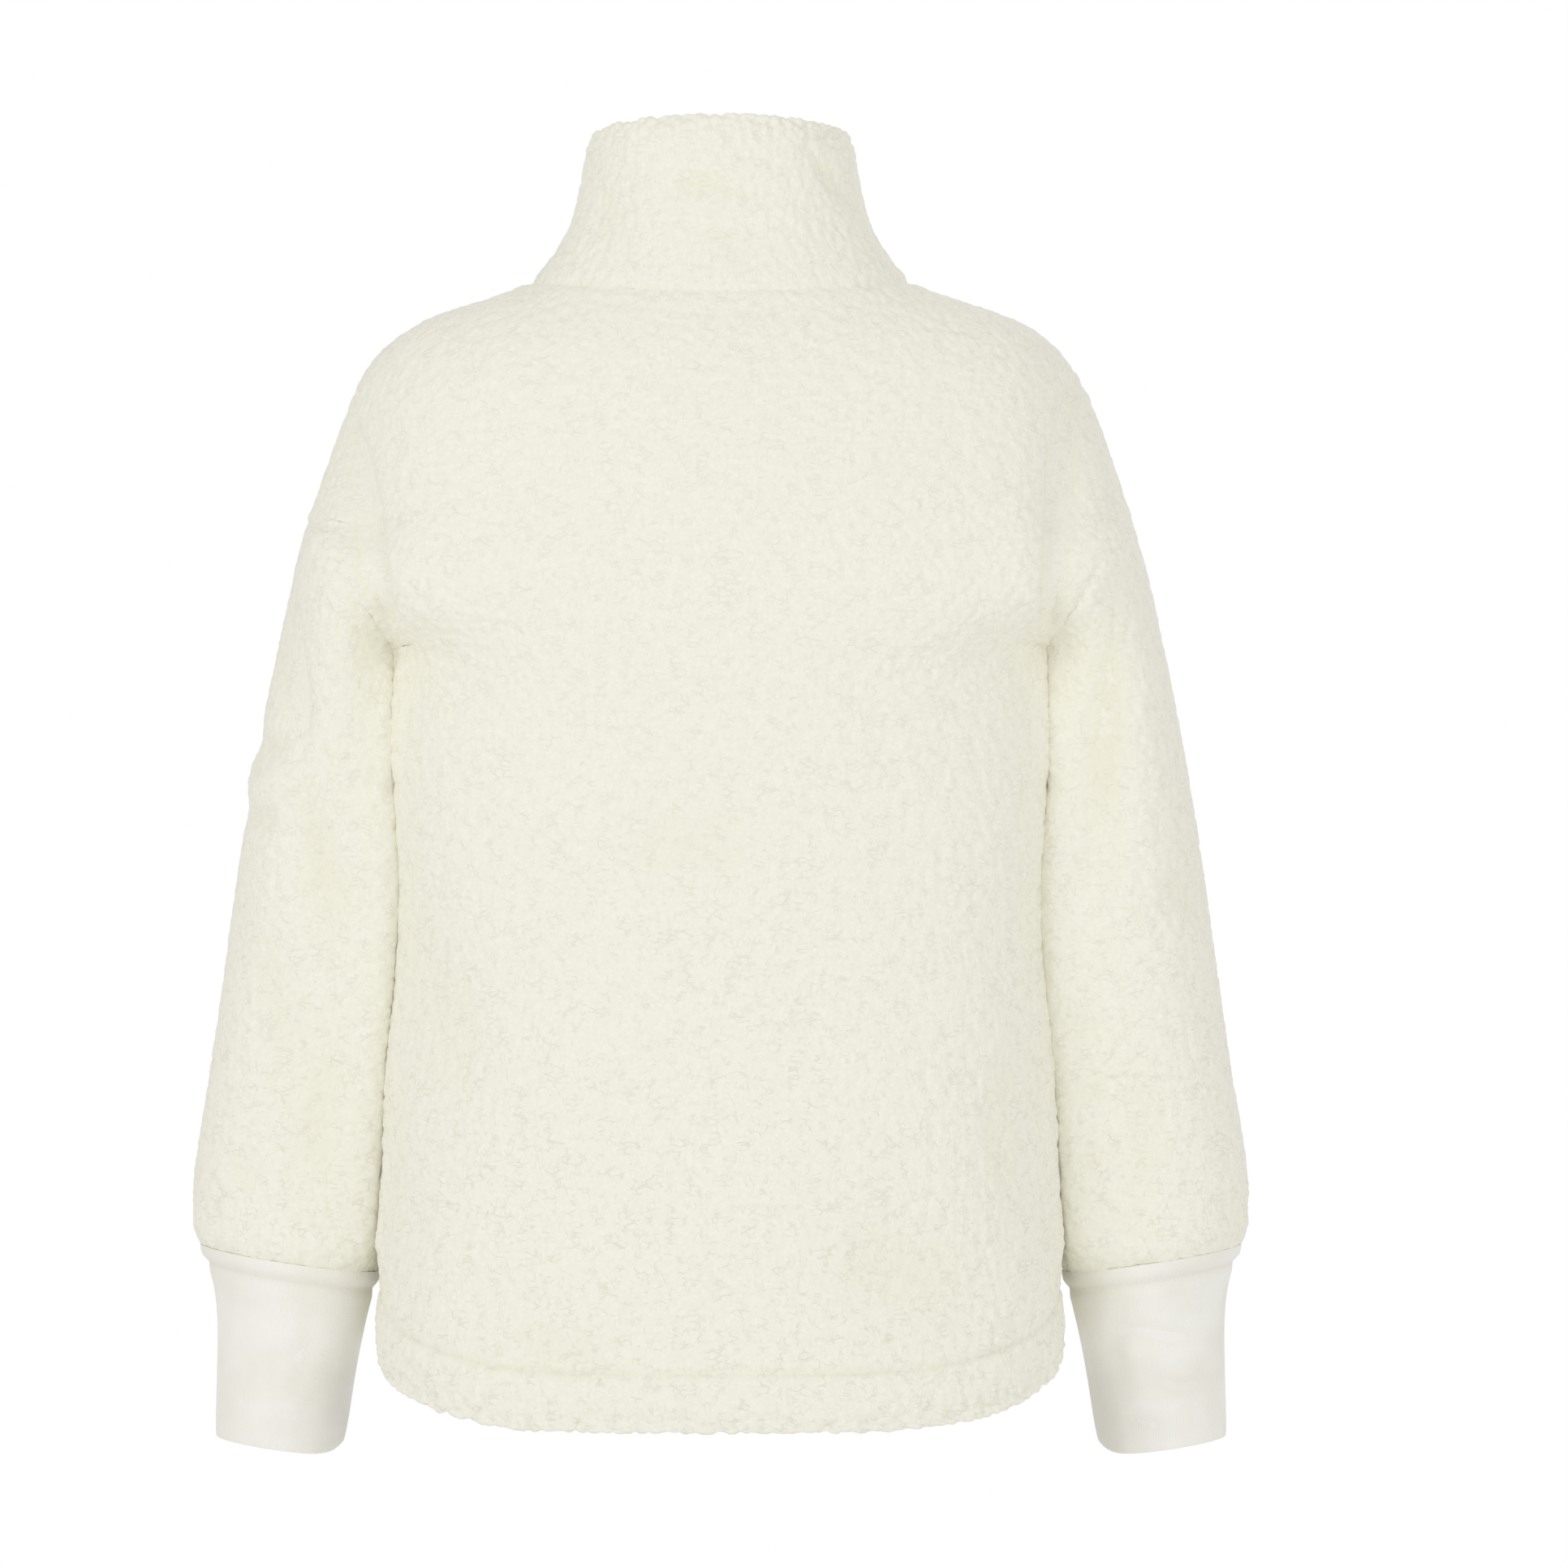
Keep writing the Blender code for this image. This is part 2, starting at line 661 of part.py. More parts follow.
def sleeve_grids(back_half, front_half):
    """The master points of the sleeves and cuffs."""
    rows = slice(SHOULDER_ROWS, SHOULDER_ROWS + ARMHOLE_ROWS + 1)
    ring = armhole_ring(back_half[rows, -1], front_half[rows, -1])
    sleeve = tube(
        ring, SLEEVE_OUTER, SLEEVE_INNER, SLEEVE_HALF_DEPTH, SLEEVE_ROWS,
        first=UNDERARM_STEP, squareness=SLEEVE_SQUARENESS,
    )
    cuff = tube(sleeve[-1], CUFF_OUTER, CUFF_INNER, CUFF_HALF_DEPTH, CUFF_ROWS)
    round_cuff_corner(cuff)
    return {
        "sleeve_right": sleeve,
        "sleeve_left": mirrored(sleeve),
        "cuff_right": cuff,
        "cuff_left": mirrored(cuff),
    }


def neck_ring(grids):
    """The neck seam, from the left front edge round the back to the right front edge."""
    left = grids["front_left"][0]
    back = grids["back"][0]
    right = grids["front_right"][0]
    return np.concatenate([left, back[1:], right[1:]])


def front_edge(grids, normals, side):
    """Rows at a front's zip edge, from the collar's top to the hem, with their wall depths.

    Each row has the edge's point, the next point from the edge, and their outward directions.
    """
    columns = (-1, -2) if side > 0 else (0, 1)
    front = "front_right" if side > 0 else "front_left"
    rows = []
    for source, first, wall in (("collar", 0, COLLAR_WALL), (front, 1, PILE_WALL)):
        for i in range(first, len(grids[source])):
            points = [grids[source][i, k] for k in columns]
            outs = [normals[source][i, k] for k in columns]
            rows.append((points, outs, wall))
    return rows


def behind_front(rows, distance):
    """Places behind a front at a distance from the centre line, with their outward directions."""
    places = []
    outs = []
    for points, normals, wall in rows:
        share = (distance - abs(points[0][0])) / (abs(points[1][0]) - abs(points[0][0]))
        out = normals[0] + (normals[1] - normals[0]) * share
        place = points[0] + (points[1] - points[0]) * share
        places.append(place - out * (wall + TAPE_GAP))
        outs.append(out)
    places = np.array(places)
    places[0] = places[1] + (places[0] - places[1]) * ZIP_TOP_SHARE
    places[-1] = places[-2] + (places[-1] - places[-2]) * ZIP_HEM_SHARE
    return places, np.array(outs)


def add_tape(name, rows, side, collection):
    """A tape behind a front, made from the front's points."""
    inner, inner_out = behind_front(rows, TAPE_INNER_X)
    outer, outer_out = behind_front(rows, TAPE_OUTER_X)
    columns = (outer, inner) if side > 0 else (inner, outer)
    outs = (outer_out, inner_out) if side > 0 else (inner_out, outer_out)
    grid = np.stack(columns, axis=1)
    add_wall(name, grid, np.stack(outs, axis=1), TAPE_WALL, TAPE, collection)


def zip_line(grids, normals):
    """The middle line of the tapes' outer side, from the collar's top to the hem."""
    right, right_out = behind_front(front_edge(grids, normals, RIGHT), TAPE_INNER_X)
    left, left_out = behind_front(front_edge(grids, normals, LEFT), TAPE_INNER_X)
    places = (right + left) / 2
    outs = (right_out + left_out) / 2
    places[:, 0] = 0.0
    outs[:, 0] = 0.0
    return places, outs / np.linalg.norm(outs, axis=1)[:, None]


def add_chain(places, outs, collection):
    """The closed chain between the slider and the box."""
    top = SLIDER_HEIGHT - SLIDER_SIZE[2] / 2 - ZIP_GAP
    bottom = places[-1][2] + ZIP_BOX_SIZE[2] + ZIP_GAP
    inside = (places[:, 2] < top) & (places[:, 2] > bottom)
    ends = point_at_height(places, top), point_at_height(places, bottom)
    middle = np.vstack([ends[0], places[inside], ends[1]])
    middle_out = np.vstack([outs[0], outs[inside], outs[-1]])
    proud = (CHAIN_WALL - TAPE_WALL) / 2
    grid = np.stack([middle + middle_out * proud] * 2, axis=1)
    grid[:, 0, 0] = CHAIN_HALF_WIDTH
    grid[:, 1, 0] = -CHAIN_HALF_WIDTH
    both_out = np.stack([middle_out] * 2, axis=1)
    add_wall("zip_chain", grid, both_out, CHAIN_WALL, MOULDED, collection)


def point_at_height(places, z):
    """The centre line's place at a height."""
    y = np.interp(-z, -places[:, 2], places[:, 1])
    return np.array([0.0, y, z])


def lean(places, low, high):
    """The angle by which the front leans back between two heights."""
    below = point_at_height(places, low)
    above = point_at_height(places, high)
    return math.atan((below[1] - above[1]) / (high - low))


def add_block(name, size, centre, collection, bevel=0.0):
    """A block from a cube primitive, with its size and place in its mesh."""
    bpy.ops.mesh.primitive_cube_add(size=1.0)
    item = bpy.context.active_object
    item.name = name
    for vertex in item.data.vertices:
        vertex.co.x = vertex.co.x * size[0] + centre[0]
        vertex.co.y = vertex.co.y * size[1] + centre[1]
        vertex.co.z = vertex.co.z * size[2] + centre[2]
    for owner in list(item.users_collection):
        owner.objects.unlink(item)
    collection.objects.link(item)
    if bevel:
        rounding = item.modifiers.new("Bevel", "BEVEL")
        rounding.width = bevel
        rounding.segments = 2
        rounding.limit_method = "ANGLE"
    return item


def add_boolean(item, other, operation):
    """Joins or cuts an object with another, which is kept out of the model."""
    modifier = item.modifiers.new(operation.title(), "BOOLEAN")
    modifier.operation = operation
    modifier.object = other
    modifier.solver = "EXACT"
    other.hide_render = True
    other.display_type = "WIRE"


def seat(item, place, tilt):
    """Puts an object on the zip, leaning as the front does there."""
    item.location = place
    item.rotation_euler = (tilt, 0.0, 0.0)


def add_slider(places, collection, cutters):
    """The slider at the top of the chain, with its bail, and the pull tab on its axis."""
    tape_face = point_at_height(places, SLIDER_HEIGHT)
    tilt = lean(places, SLIDER_HEIGHT - SLIDER_SIZE[2], SLIDER_HEIGHT)
    out = np.array([0.0, math.cos(tilt), math.sin(tilt)])
    front_depth = COLLAR_WALL + TAPE_GAP
    axis_height = SLIDER_FACE + BAIL_INNER_RISE / 2
    axis_place = tape_face + out * (front_depth + axis_height)

    face = SLIDER_FACE - axis_height
    body_centre = (0.0, face - SLIDER_SIZE[1] / 2, 0.0)
    slider = add_block("zip_slider", SLIDER_SIZE, body_centre, collection, SLIDER_BEVEL)
    bail_size = (BAIL_WIDTH, BAIL_RISE + 2 * BAIL_ROOT, BAIL_LENGTH)
    bail_centre = (0.0, face + BAIL_RISE / 2 - BAIL_ROOT, 0.0)
    bail = add_block("bail", bail_size, bail_centre, cutters, SMALL_BEVEL)
    hole_size = (CUTTER_SPAN, BAIL_INNER_RISE, BAIL_INNER_LENGTH)
    hole_centre = (0.0, face + BAIL_INNER_RISE / 2, 0.0)
    hole = add_block("bail_hole", hole_size, hole_centre, cutters)
    add_boolean(bail, hole, "DIFFERENCE")
    add_boolean(slider, bail, "UNION")
    slider.data.materials.append(add_material("zip_slider_finish", PLATED))

    tab_size = (TAB_WIDTH, TAB_THICKNESS, TAB_LENGTH)
    tab_centre = (0.0, 0.0, TAB_THICKNESS / 2 - TAB_LENGTH / 2)
    tab = add_block("zip_pull", tab_size, tab_centre, collection, SMALL_BEVEL)
    window_length = TAB_WINDOW_END - TAB_THICKNESS / 2
    window_size = (TAB_WINDOW_WIDTH, CUTTER_SPAN, window_length)
    window_centre = (0.0, 0.0, -TAB_THICKNESS / 2 - window_length / 2)
    window = add_block("tab_window", window_size, window_centre, cutters)
    add_boolean(tab, window, "DIFFERENCE")
    tab.data.materials.append(add_material("zip_pull_finish", PLATED))
    for item in (slider, bail, hole, tab, window):
        seat(item, axis_place, tilt)


def add_zip_box(places, collection):
    """The box at the foot of the zip, which holds the end of the chain."""
    foot = places[-1]
    tilt = lean(places, foot[2], foot[2] + ZIP_BOX_SIZE[2])
    out = np.array([0.0, math.cos(tilt), math.sin(tilt)])
    centre = (0.0, 0.0, ZIP_BOX_SIZE[2] / 2)
    box = add_block("zip_box", ZIP_BOX_SIZE, centre, collection, ZIP_BOX_BEVEL)
    seat(box, foot + out * (ZIP_GAP + ZIP_BOX_SIZE[1] / 2), tilt)
    box.data.materials.append(add_material("zip_box_finish", MOULDED))


def main():
    """Builds the jacket."""
    clear_scene()
    collection = add_collection("fleece_jacket")
    cutters = add_collection("cutters")
    cutters.hide_render = True

    grids, back_half, front_half = body_grids()
    grids.update(sleeve_grids(back_half, front_half))
    grids["collar"] = collar_grid(neck_ring(grids))
    closed = {"sleeve_left", "sleeve_right", "cuff_left", "cuff_right"}
    grids = folded(grids, shared_normals(grids, closed))
    normals = shared_normals(grids, closed)

    cloth = {
        "back": (PILE_WALL, PILE, "bottom"),
        "front_left": (PILE_WALL, PILE, "bottom"),
        "front_right": (PILE_WALL, PILE, "bottom"),
        "sleeve_left": (PILE_WALL, PILE, None),
        "sleeve_right": (PILE_WALL, PILE, None),
        "collar": (COLLAR_WALL, COLLAR_PILE, "top"),
        "cuff_left": (CUFF_WALL, JERSEY, "bottom"),
        "cuff_right": (CUFF_WALL, JERSEY, "bottom"),
    }
    for name, (thickness, finish, round_edge) in cloth.items():
        add_wall(
            name, grids[name], normals[name], thickness, finish, collection,
            is_closed=name in closed, round_edge=round_edge,
        )
    for name, side in (("zip_tape_right", RIGHT), ("zip_tape_left", LEFT)):
        add_tape(name, front_edge(grids, normals, side), side, collection)
    places, outs = zip_line(grids, normals)
    add_chain(places, outs, collection)
    add_slider(places, collection, cutters)
    add_zip_box(places, collection)


main()
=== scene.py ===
"""Looks of a curly pile fleece jacket, filled out, with knit cuffs and a long front zip.

Every cloth piece is a thin shell on the form of its solid: the solid's mesh is copied, merged,
refined and smoothed, then it gets its folds, its seams and its pile. The zip gets its teeth,
and the studio its camera, lights and floor. Sizes are metres, +Z up, the back faces -Y.
"""

import logging
import math
from collections.abc import Iterator
from contextlib import contextmanager
from dataclasses import dataclass, field
from enum import Enum
from functools import partial

import bmesh
import bpy
import numpy as np
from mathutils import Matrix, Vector, noise
from mathutils.bvhtree import BVHTree
from mathutils.kdtree import KDTree


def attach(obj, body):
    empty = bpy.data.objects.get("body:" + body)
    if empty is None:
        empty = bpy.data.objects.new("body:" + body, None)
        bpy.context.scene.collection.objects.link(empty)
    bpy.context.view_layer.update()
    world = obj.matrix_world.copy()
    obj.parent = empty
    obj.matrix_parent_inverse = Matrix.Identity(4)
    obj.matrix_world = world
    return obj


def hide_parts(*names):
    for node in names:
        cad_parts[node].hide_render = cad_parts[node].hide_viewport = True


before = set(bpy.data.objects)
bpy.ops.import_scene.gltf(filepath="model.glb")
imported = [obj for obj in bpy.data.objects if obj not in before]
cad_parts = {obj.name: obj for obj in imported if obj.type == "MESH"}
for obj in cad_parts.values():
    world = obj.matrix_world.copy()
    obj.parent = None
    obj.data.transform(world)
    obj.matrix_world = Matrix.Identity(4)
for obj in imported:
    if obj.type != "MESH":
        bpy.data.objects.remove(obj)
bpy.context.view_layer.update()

LOG = logging.getLogger("fleece_jacket")

Point = tuple[float, float, float]
Colour = tuple[float, float, float]
SeenLine = tuple[tuple[float, float], ...]
SpaceLine = tuple[Point, ...]
Socket = bpy.types.NodeSocket

SIDES = ("left", "right")
FLEECE_WALL = 0.004
COLLAR_WALL = 0.0055
KNIT_WALL = 0.002
TAPE_WALL = 0.0008


class Facing(Enum):
    """The side of a piece that a fold lies on."""

    BACK = -1
    FRONT = 1


class Layer(Enum):
    """The part of a wall that a face belongs to, kept as its material index while it is shaped."""

    OUTER = 0
    INNER = 1
    RIM = 2
    ROUND_RIM = 3


class Opening(Enum):
    """A free edge of a piece, which no seam joins."""

    HEM = "hem"
    TOP = "top"
    FRONT = "front"


@dataclass(frozen=True)
class Fold:
    """A soft hollow along a line seen from the back, or a ridge where the depth is negative. A
    hollow also gets painted shade.

    Attributes:
        facing: The side that it lies on.
        points: The line's points (x, z).
        width: How far its banks reach from the line.
        depth: How deep it is.
        left_width: The reach of the bank on the left of the line's direction, where it differs.
        taper: The share of the line's length in which each end fades.
    """

    facing: Facing
    points: SeenLine
    width: float
    depth: float
    left_width: float | None = None
    taper: float = 0.35


@dataclass(frozen=True)
class Swell:
    """A soft swelling along a line in space, where cloth is pressed full beside its neighbour."""

    points: SpaceLine
    radius: float
    height: float

    def rise(self, places: np.ndarray) -> np.ndarray:
        """Measures how far the swelling moves places outward.

        Args:
            places: The places, a row each.

        Returns:
            The height at each place.
        """
        nearest = np.full(len(places), np.inf)
        line = np.array(self.points)
        if len(line) == 1:
            nearest = np.linalg.norm(places - line[0], axis=1)
        for start, end in zip(line[:-1], line[1:]):
            run = end - start
            share = np.clip((places - start) @ run / (run @ run), 0.0, 1.0)
            away = np.linalg.norm(places - start - share[:, None] * run, axis=1)
            nearest = np.minimum(nearest, away)
        return self.height * np.exp(-((nearest / self.radius) ** 2))


@dataclass(frozen=True)
class EdgeShape:
    """The section of the cloth beside a seam or an edge: a dip at it, a ridge and a groove."""

    dip: float
    dip_width: float
    ridge: float = 0.0
    ridge_at: float = 0.006
    ridge_width: float = 0.004
    groove: float = 0.0
    groove_at: float = 0.012
    groove_width: float = 0.0022

    def height(self, distance: np.ndarray) -> np.ndarray:
        """Works out how far the cloth moves outward at distances from the edge.

        Args:
            distance: The distances.

        Returns:
            The height at each distance.
        """
        dip = -self.dip * np.exp(-((distance / self.dip_width) ** 2))
        ridge = self.ridge * np.exp(-(((distance - self.ridge_at) / self.ridge_width) ** 2))
        return dip + ridge - self.groove * self.groove_share(distance)

    def groove_share(self, distance: np.ndarray) -> np.ndarray:
        """Works out how much of the groove lies at distances from the edge.

        Args:
            distance: The distances.

        Returns:
            The share at each distance, from 0 to 1.
        """
        if not self.groove:
            return np.zeros(len(distance))
        return np.exp(-(((distance - self.groove_at) / self.groove_width) ** 2))


def make_active(item: bpy.types.Object) -> None:
    """Selects one object alone and makes it active.

    Args:
        item: The object.
    """
    bpy.ops.object.select_all(action="DESELECT")
    item.select_set(True)
    bpy.context.view_layer.objects.active = item


@contextmanager
def editing(item: bpy.types.Object, select_all: bool = True) -> Iterator[None]:
    """Keeps an object in edit mode for a with block.

    Args:
        item: The object.
        select_all: Whether all of it is selected first.

    Yields:
        None, while the object is in edit mode.
    """
    make_active(item)
    bpy.ops.object.mode_set(mode="EDIT")
    if select_all:
        bpy.ops.mesh.select_all(action="SELECT")
    yield
    bpy.ops.object.mode_set(mode="OBJECT")


def apply_modifiers(item: bpy.types.Object) -> None:
    """Applies an object's modifiers in order.

    Args:
        item: The object.
    """
    make_active(item)
    for modifier in list(item.modifiers):
        bpy.ops.object.modifier_apply(modifier=modifier.name)


def vertex_places(mesh: bpy.types.Mesh) -> np.ndarray:
    """Reads the places of a mesh's vertices.

    Args:
        mesh: The mesh.

    Returns:
        The places, a row each.
    """
    places = np.empty(len(mesh.vertices) * 3)
    mesh.vertices.foreach_get("co", places)
    return places.reshape(-1, 3)


def move_vertices(mesh: bpy.types.Mesh, places: np.ndarray) -> None:
    """Puts a mesh's vertices at new places.

    Args:
        mesh: The mesh.
        places: A row for each vertex.
    """
    mesh.vertices.foreach_set("co", places.ravel())
    mesh.update()


def corner_vertices(mesh: bpy.types.Mesh) -> np.ndarray:
    """Reads the vertex at each face corner of a mesh.

    Args:
        mesh: The mesh.

    Returns:
        The number of the vertex at each corner.
    """
    corners = np.empty(len(mesh.loops), dtype=np.int64)
    mesh.loops.foreach_get("vertex_index", corners)
    return corners


def place_tree(places: np.ndarray) -> KDTree:
    """Builds a search tree of places.

    Args:
        places: The places, a row each.

    Returns:
        The tree, ready to search.
    """
    tree = KDTree(len(places))
    for index, place in enumerate(places):
        tree.insert(Vector(place), index)
    tree.balance()
    return tree


def nearest_distance(places: np.ndarray, targets: np.ndarray, reach: float) -> np.ndarray:
    """Finds how far each place is from the nearest target.

    Args:
        places: The places, a row each.
        targets: The targets, a row each.
        reach: Distances past this are given as this.

    Returns:
        One distance for each place.
    """
    result = np.full(len(places), reach)
    if not len(targets):
        return result
    low = targets.min(axis=0) - reach
    high = targets.max(axis=0) + reach
    tree = place_tree(targets)
    near = np.all((places > low) & (places < high), axis=1)
    for index in np.flatnonzero(near):
        result[index] = min(reach, tree.find(Vector(places[index]))[2])
    return result


def even_out(places: np.ndarray, ends: np.ndarray, share: np.ndarray, passes: int) -> None:
    """Moves places towards the mean of their neighbours.

    Args:
        places: The places, which are changed.
        ends: The two ends of each edge.
        share: How far each place moves in a pass.
        passes: How many passes.
    """
    if not len(ends):
        return
    first, second = ends.T
    count = np.bincount(ends.ravel(), minlength=len(places))
    share = np.where(count > 0, share, 0.0)
    count = np.maximum(count, 1)
    for _ in range(passes):
        for axis in range(3):
            mean = np.bincount(first, places[second, axis], len(places))
            mean += np.bincount(second, places[first, axis], len(places))
            places[:, axis] += share * (mean / count - places[:, axis])


def smooth_step(value: np.ndarray) -> np.ndarray:
    """Returns a soft rise from 0 to 1.

    Args:
        value: The share of the rise, held between 0 and 1.
    """
    held = np.clip(value, 0.0, 1.0)
    return held * held * (3 - 2 * held)


# Finishes

MIX_COLOUR_A, MIX_COLOUR_B = 6, 7
MIX_COLOUR_RESULT = 2


class NodeSheet:
    """A small helper that adds and links shader nodes in a tree."""

    def __init__(self, tree: bpy.types.NodeTree) -> None:
        """Keeps the tree.

        Args:
            tree: The tree to add nodes to.
        """
        self.tree = tree

    def feed(self, node: bpy.types.Node, inputs: dict[str | int, object]) -> None:
        """Links or sets a node's inputs.

        Args:
            node: The node.
            inputs: A socket, a number, a vector or a colour for each, by name or index.
        """
        for name, value in inputs.items():
            socket = node.inputs[name]
            if isinstance(value, Socket):
                self.tree.links.new(value, socket)
            elif socket.type == "RGBA":
                socket.default_value = (*value, 1.0)
            else:
                socket.default_value = value

    def add(
        self, kind: str, inputs: dict[str | int, object] | None = None, **settings: object
    ) -> bpy.types.Node:
        """Adds a node.

        Args:
            kind: The node's type.
            inputs: What its inputs get, by name or index.
            **settings: Its properties by name.

        Returns:
            The node.
        """
        node = self.tree.nodes.new(kind)
        for name, value in settings.items():
            setattr(node, name, value)
        self.feed(node, inputs or {})
        return node

    def math(self, operation: str, first: object, second: object = 0.0) -> Socket:
        """Adds a Math node on sockets or numbers and returns its output.

        Args:
            operation: The node's operation.
            first: A socket or a number.
            second: A socket or a number.
        """
        return self.add("ShaderNodeMath", {0: first, 1: second}, operation=operation).outputs[0]

    def vector(self, operation: str, first: Socket, second: object) -> Socket:
        """Adds a Vector Math node and returns its output.

        Args:
            operation: The node's operation.
            first: The vector socket.
            second: A socket or a vector.
        """
        inputs = {0: first, 1: second}
        return self.add("ShaderNodeVectorMath", inputs, operation=operation).outputs[0]

    def noise(
        self, places: Socket, scale: object, detail: float, roughness: float = 0.5
    ) -> bpy.types.Node:
        """Adds a Noise Texture node and returns it.

        Args:
            places: The places to read.
            scale: A socket or a number, per metre.
            detail: How many finer layers it has.
            roughness: How strong the finer layers are.
        """
        inputs = {"Vector": places, "Scale": scale, "Detail": detail, "Roughness": roughness}
        return self.add("ShaderNodeTexNoise", inputs)

    def range(
        self, value: Socket, low: float, high: float, to_low: float = 0.0, to_high: float = 1.0
    ) -> Socket:
        """Adds a smooth Map Range node.

        Args:
            value: The socket to read.
            low: The value that gives to_low.
            high: The value that gives to_high.
            to_low: The lower result.
            to_high: The higher result.

        Returns:
            The node's output.
        """
        inputs = {"Value": value, "From Min": low, "From Max": high}
        inputs |= {"To Min": to_low, "To Max": to_high}
        node = self.add("ShaderNodeMapRange", inputs, interpolation_type="SMOOTHSTEP")
        return node.outputs["Result"]

    def mix(self, share: Socket, first: object, second: object) -> Socket:
        """Adds a colour Mix node and returns its output.

        Args:
            share: The socket that says how much of the second colour shows.
            first: A socket or a colour.
            second: A socket or a colour.
        """
        inputs = {0: share, MIX_COLOUR_A: first, MIX_COLOUR_B: second}
        return self.add("ShaderNodeMix", inputs, data_type="RGBA").outputs[MIX_COLOUR_RESULT]


def add_group(
    name: str, inputs: dict[str, float], outputs: tuple[str, ...]
) -> tuple[NodeSheet, bpy.types.Node, bpy.types.Node]:
    """Makes a shader group with a vector input, named numbers in and named numbers out.

    Args:
        name: The group's name.
        inputs: The number inputs and their defaults.
        outputs: The number outputs.

    Returns:
        A helper on the group, its input node and its output node.
    """
    group = bpy.data.node_groups.new(name, "ShaderNodeTree")
    group.interface.new_socket("Vector", in_out="INPUT", socket_type="NodeSocketVector")
    for label, value in inputs.items():
        socket = group.interface.new_socket(label, in_out="INPUT", socket_type="NodeSocketFloat")
        socket.default_value = value
    for label in outputs:
        group.interface.new_socket(label, in_out="OUTPUT", socket_type="NodeSocketFloat")
    sheet = NodeSheet(group)
    return sheet, sheet.add("NodeGroupInput"), sheet.add("NodeGroupOutput")


def dash_pattern(
    sheet: NodeSheet, entry: bpy.types.Node, places: Socket, stretch: Point, breaks: float
) -> Socket:
    """Adds short gaps between long clumps, where the pile parts.

    Args:
        sheet: The helper on the group.
        entry: The group's input node.
        places: The places to read.
        stretch: The scale by axis, small along the clumps.
        breaks: How often a metre interrupts the gaps.

    Returns:
        A socket that is 1 in a gap.
    """
    longer = sheet.vector("MULTIPLY", places, stretch)
    inputs = {"Vector": longer, "Scale": entry.outputs["Clumps per Metre"]}
    edges = sheet.add("ShaderNodeTexVoronoi", inputs, feature="DISTANCE_TO_EDGE")
    seams = sheet.range(edges.outputs["Distance"], 0.01, 0.11, 1.0, 0.0)
    rough = sheet.noise(entry.outputs["Vector"], breaks, 2.0)
    return sheet.math("MULTIPLY", seams, sheet.range(rough.outputs["Fac"], 0.50, 0.66))


def curly_pile_group() -> bpy.types.NodeTree:
    """Makes the group for curled pile: small clumps with short gaps between them, where the finish
    paints shade.

    Returns:
        The group, which puts out Height, Gap and Cloud.
    """
    inputs = {"Clumps per Metre": 290.0, "Curl": 0.00264, "Fuzz per Metre": 900.0}
    sheet, entry, result = add_group("curly_pile", inputs, ("Height", "Gap", "Cloud"))
    places = entry.outputs["Vector"]

    warp = sheet.noise(places, 260.0, 1.0)
    centred = sheet.vector("SUBTRACT", warp.outputs["Color"], (0.5, 0.5, 0.5))
    shift = {0: centred, "Scale": entry.outputs["Curl"]}
    shifted = sheet.add("ShaderNodeVectorMath", shift, operation="SCALE").outputs[0]
    curled = sheet.vector("ADD", places, shifted)

    inputs = {"Vector": curled, "Scale": entry.outputs["Clumps per Metre"], "Smoothness": 0.35}
    clumps = sheet.add("ShaderNodeTexVoronoi", inputs, feature="SMOOTH_F1")
    crowns = sheet.range(clumps.outputs["Distance"], 0.15, 0.75, 1.0, 0.0)
    across = dash_pattern(sheet, entry, curled, (0.40, 0.40, 1.0), 130.0)
    upright = dash_pattern(sheet, entry, curled, (1.0, 1.0, 0.45), 170.0)
    gap = sheet.math("MAXIMUM", across, sheet.math("MULTIPLY", upright, 0.7))
    fuzz = sheet.noise(curled, entry.outputs["Fuzz per Metre"], 3.0, 0.6)

    height = sheet.math("MULTIPLY", crowns, 0.7)
    height = sheet.math("ADD", height, sheet.math("MULTIPLY", fuzz.outputs["Fac"], 0.45))
    height = sheet.math("SUBTRACT", height, sheet.math("MULTIPLY", gap, 0.6))
    cloud = sheet.noise(places, 14.0, 3.0).outputs["Fac"]
    sheet.feed(result, {"Height": height, "Gap": gap, "Cloud": cloud})
    return sheet.tree


def knit_group() -> bpy.types.NodeTree:
    """Makes the group for plain knit: fine upright wales crossed by softer courses.

    Returns:
        The group, which puts out Height and Cloud.
    """
    sheet, entry, result = add_group("plain_knit", {"Wales per Metre": 950.0}, ("Height", "Cloud"))
    places = entry.outputs["Vector"]
    parts = sheet.add("ShaderNodeSeparateXYZ", {0: places})
    turn = sheet.math("MULTIPLY", entry.outputs["Wales per Metre"], 2 * math.pi)
    across = sheet.math("SINE", sheet.math("MULTIPLY", parts.outputs["X"], turn))
    slower = sheet.math("MULTIPLY", turn, 0.8)
    along = sheet.math("SINE", sheet.math("MULTIPLY", parts.outputs["Y"], slower))
    rows = sheet.math("MULTIPLY", sheet.math("ABSOLUTE", along), 0.35)
    waves = sheet.math("ADD", sheet.math("MULTIPLY", across, 0.5), rows)
    cloud = sheet.noise(places, 26.0, 2.0).outputs["Fac"]
    sheet.feed(result, {"Height": sheet.math("ADD", waves, cloud), "Cloud": cloud})
    return sheet.tree


def new_material(name: str) -> tuple[bpy.types.Material, NodeSheet, bpy.types.Node]:
    """Makes a node material.

    Args:
        name: The material's name.

    Returns:
        The material, a helper on its tree and its Principled shader.
    """
    material = bpy.data.materials.new(name)
    material.use_nodes = True
    shader = material.node_tree.nodes["Principled BSDF"]
    return material, NodeSheet(material.node_tree), shader


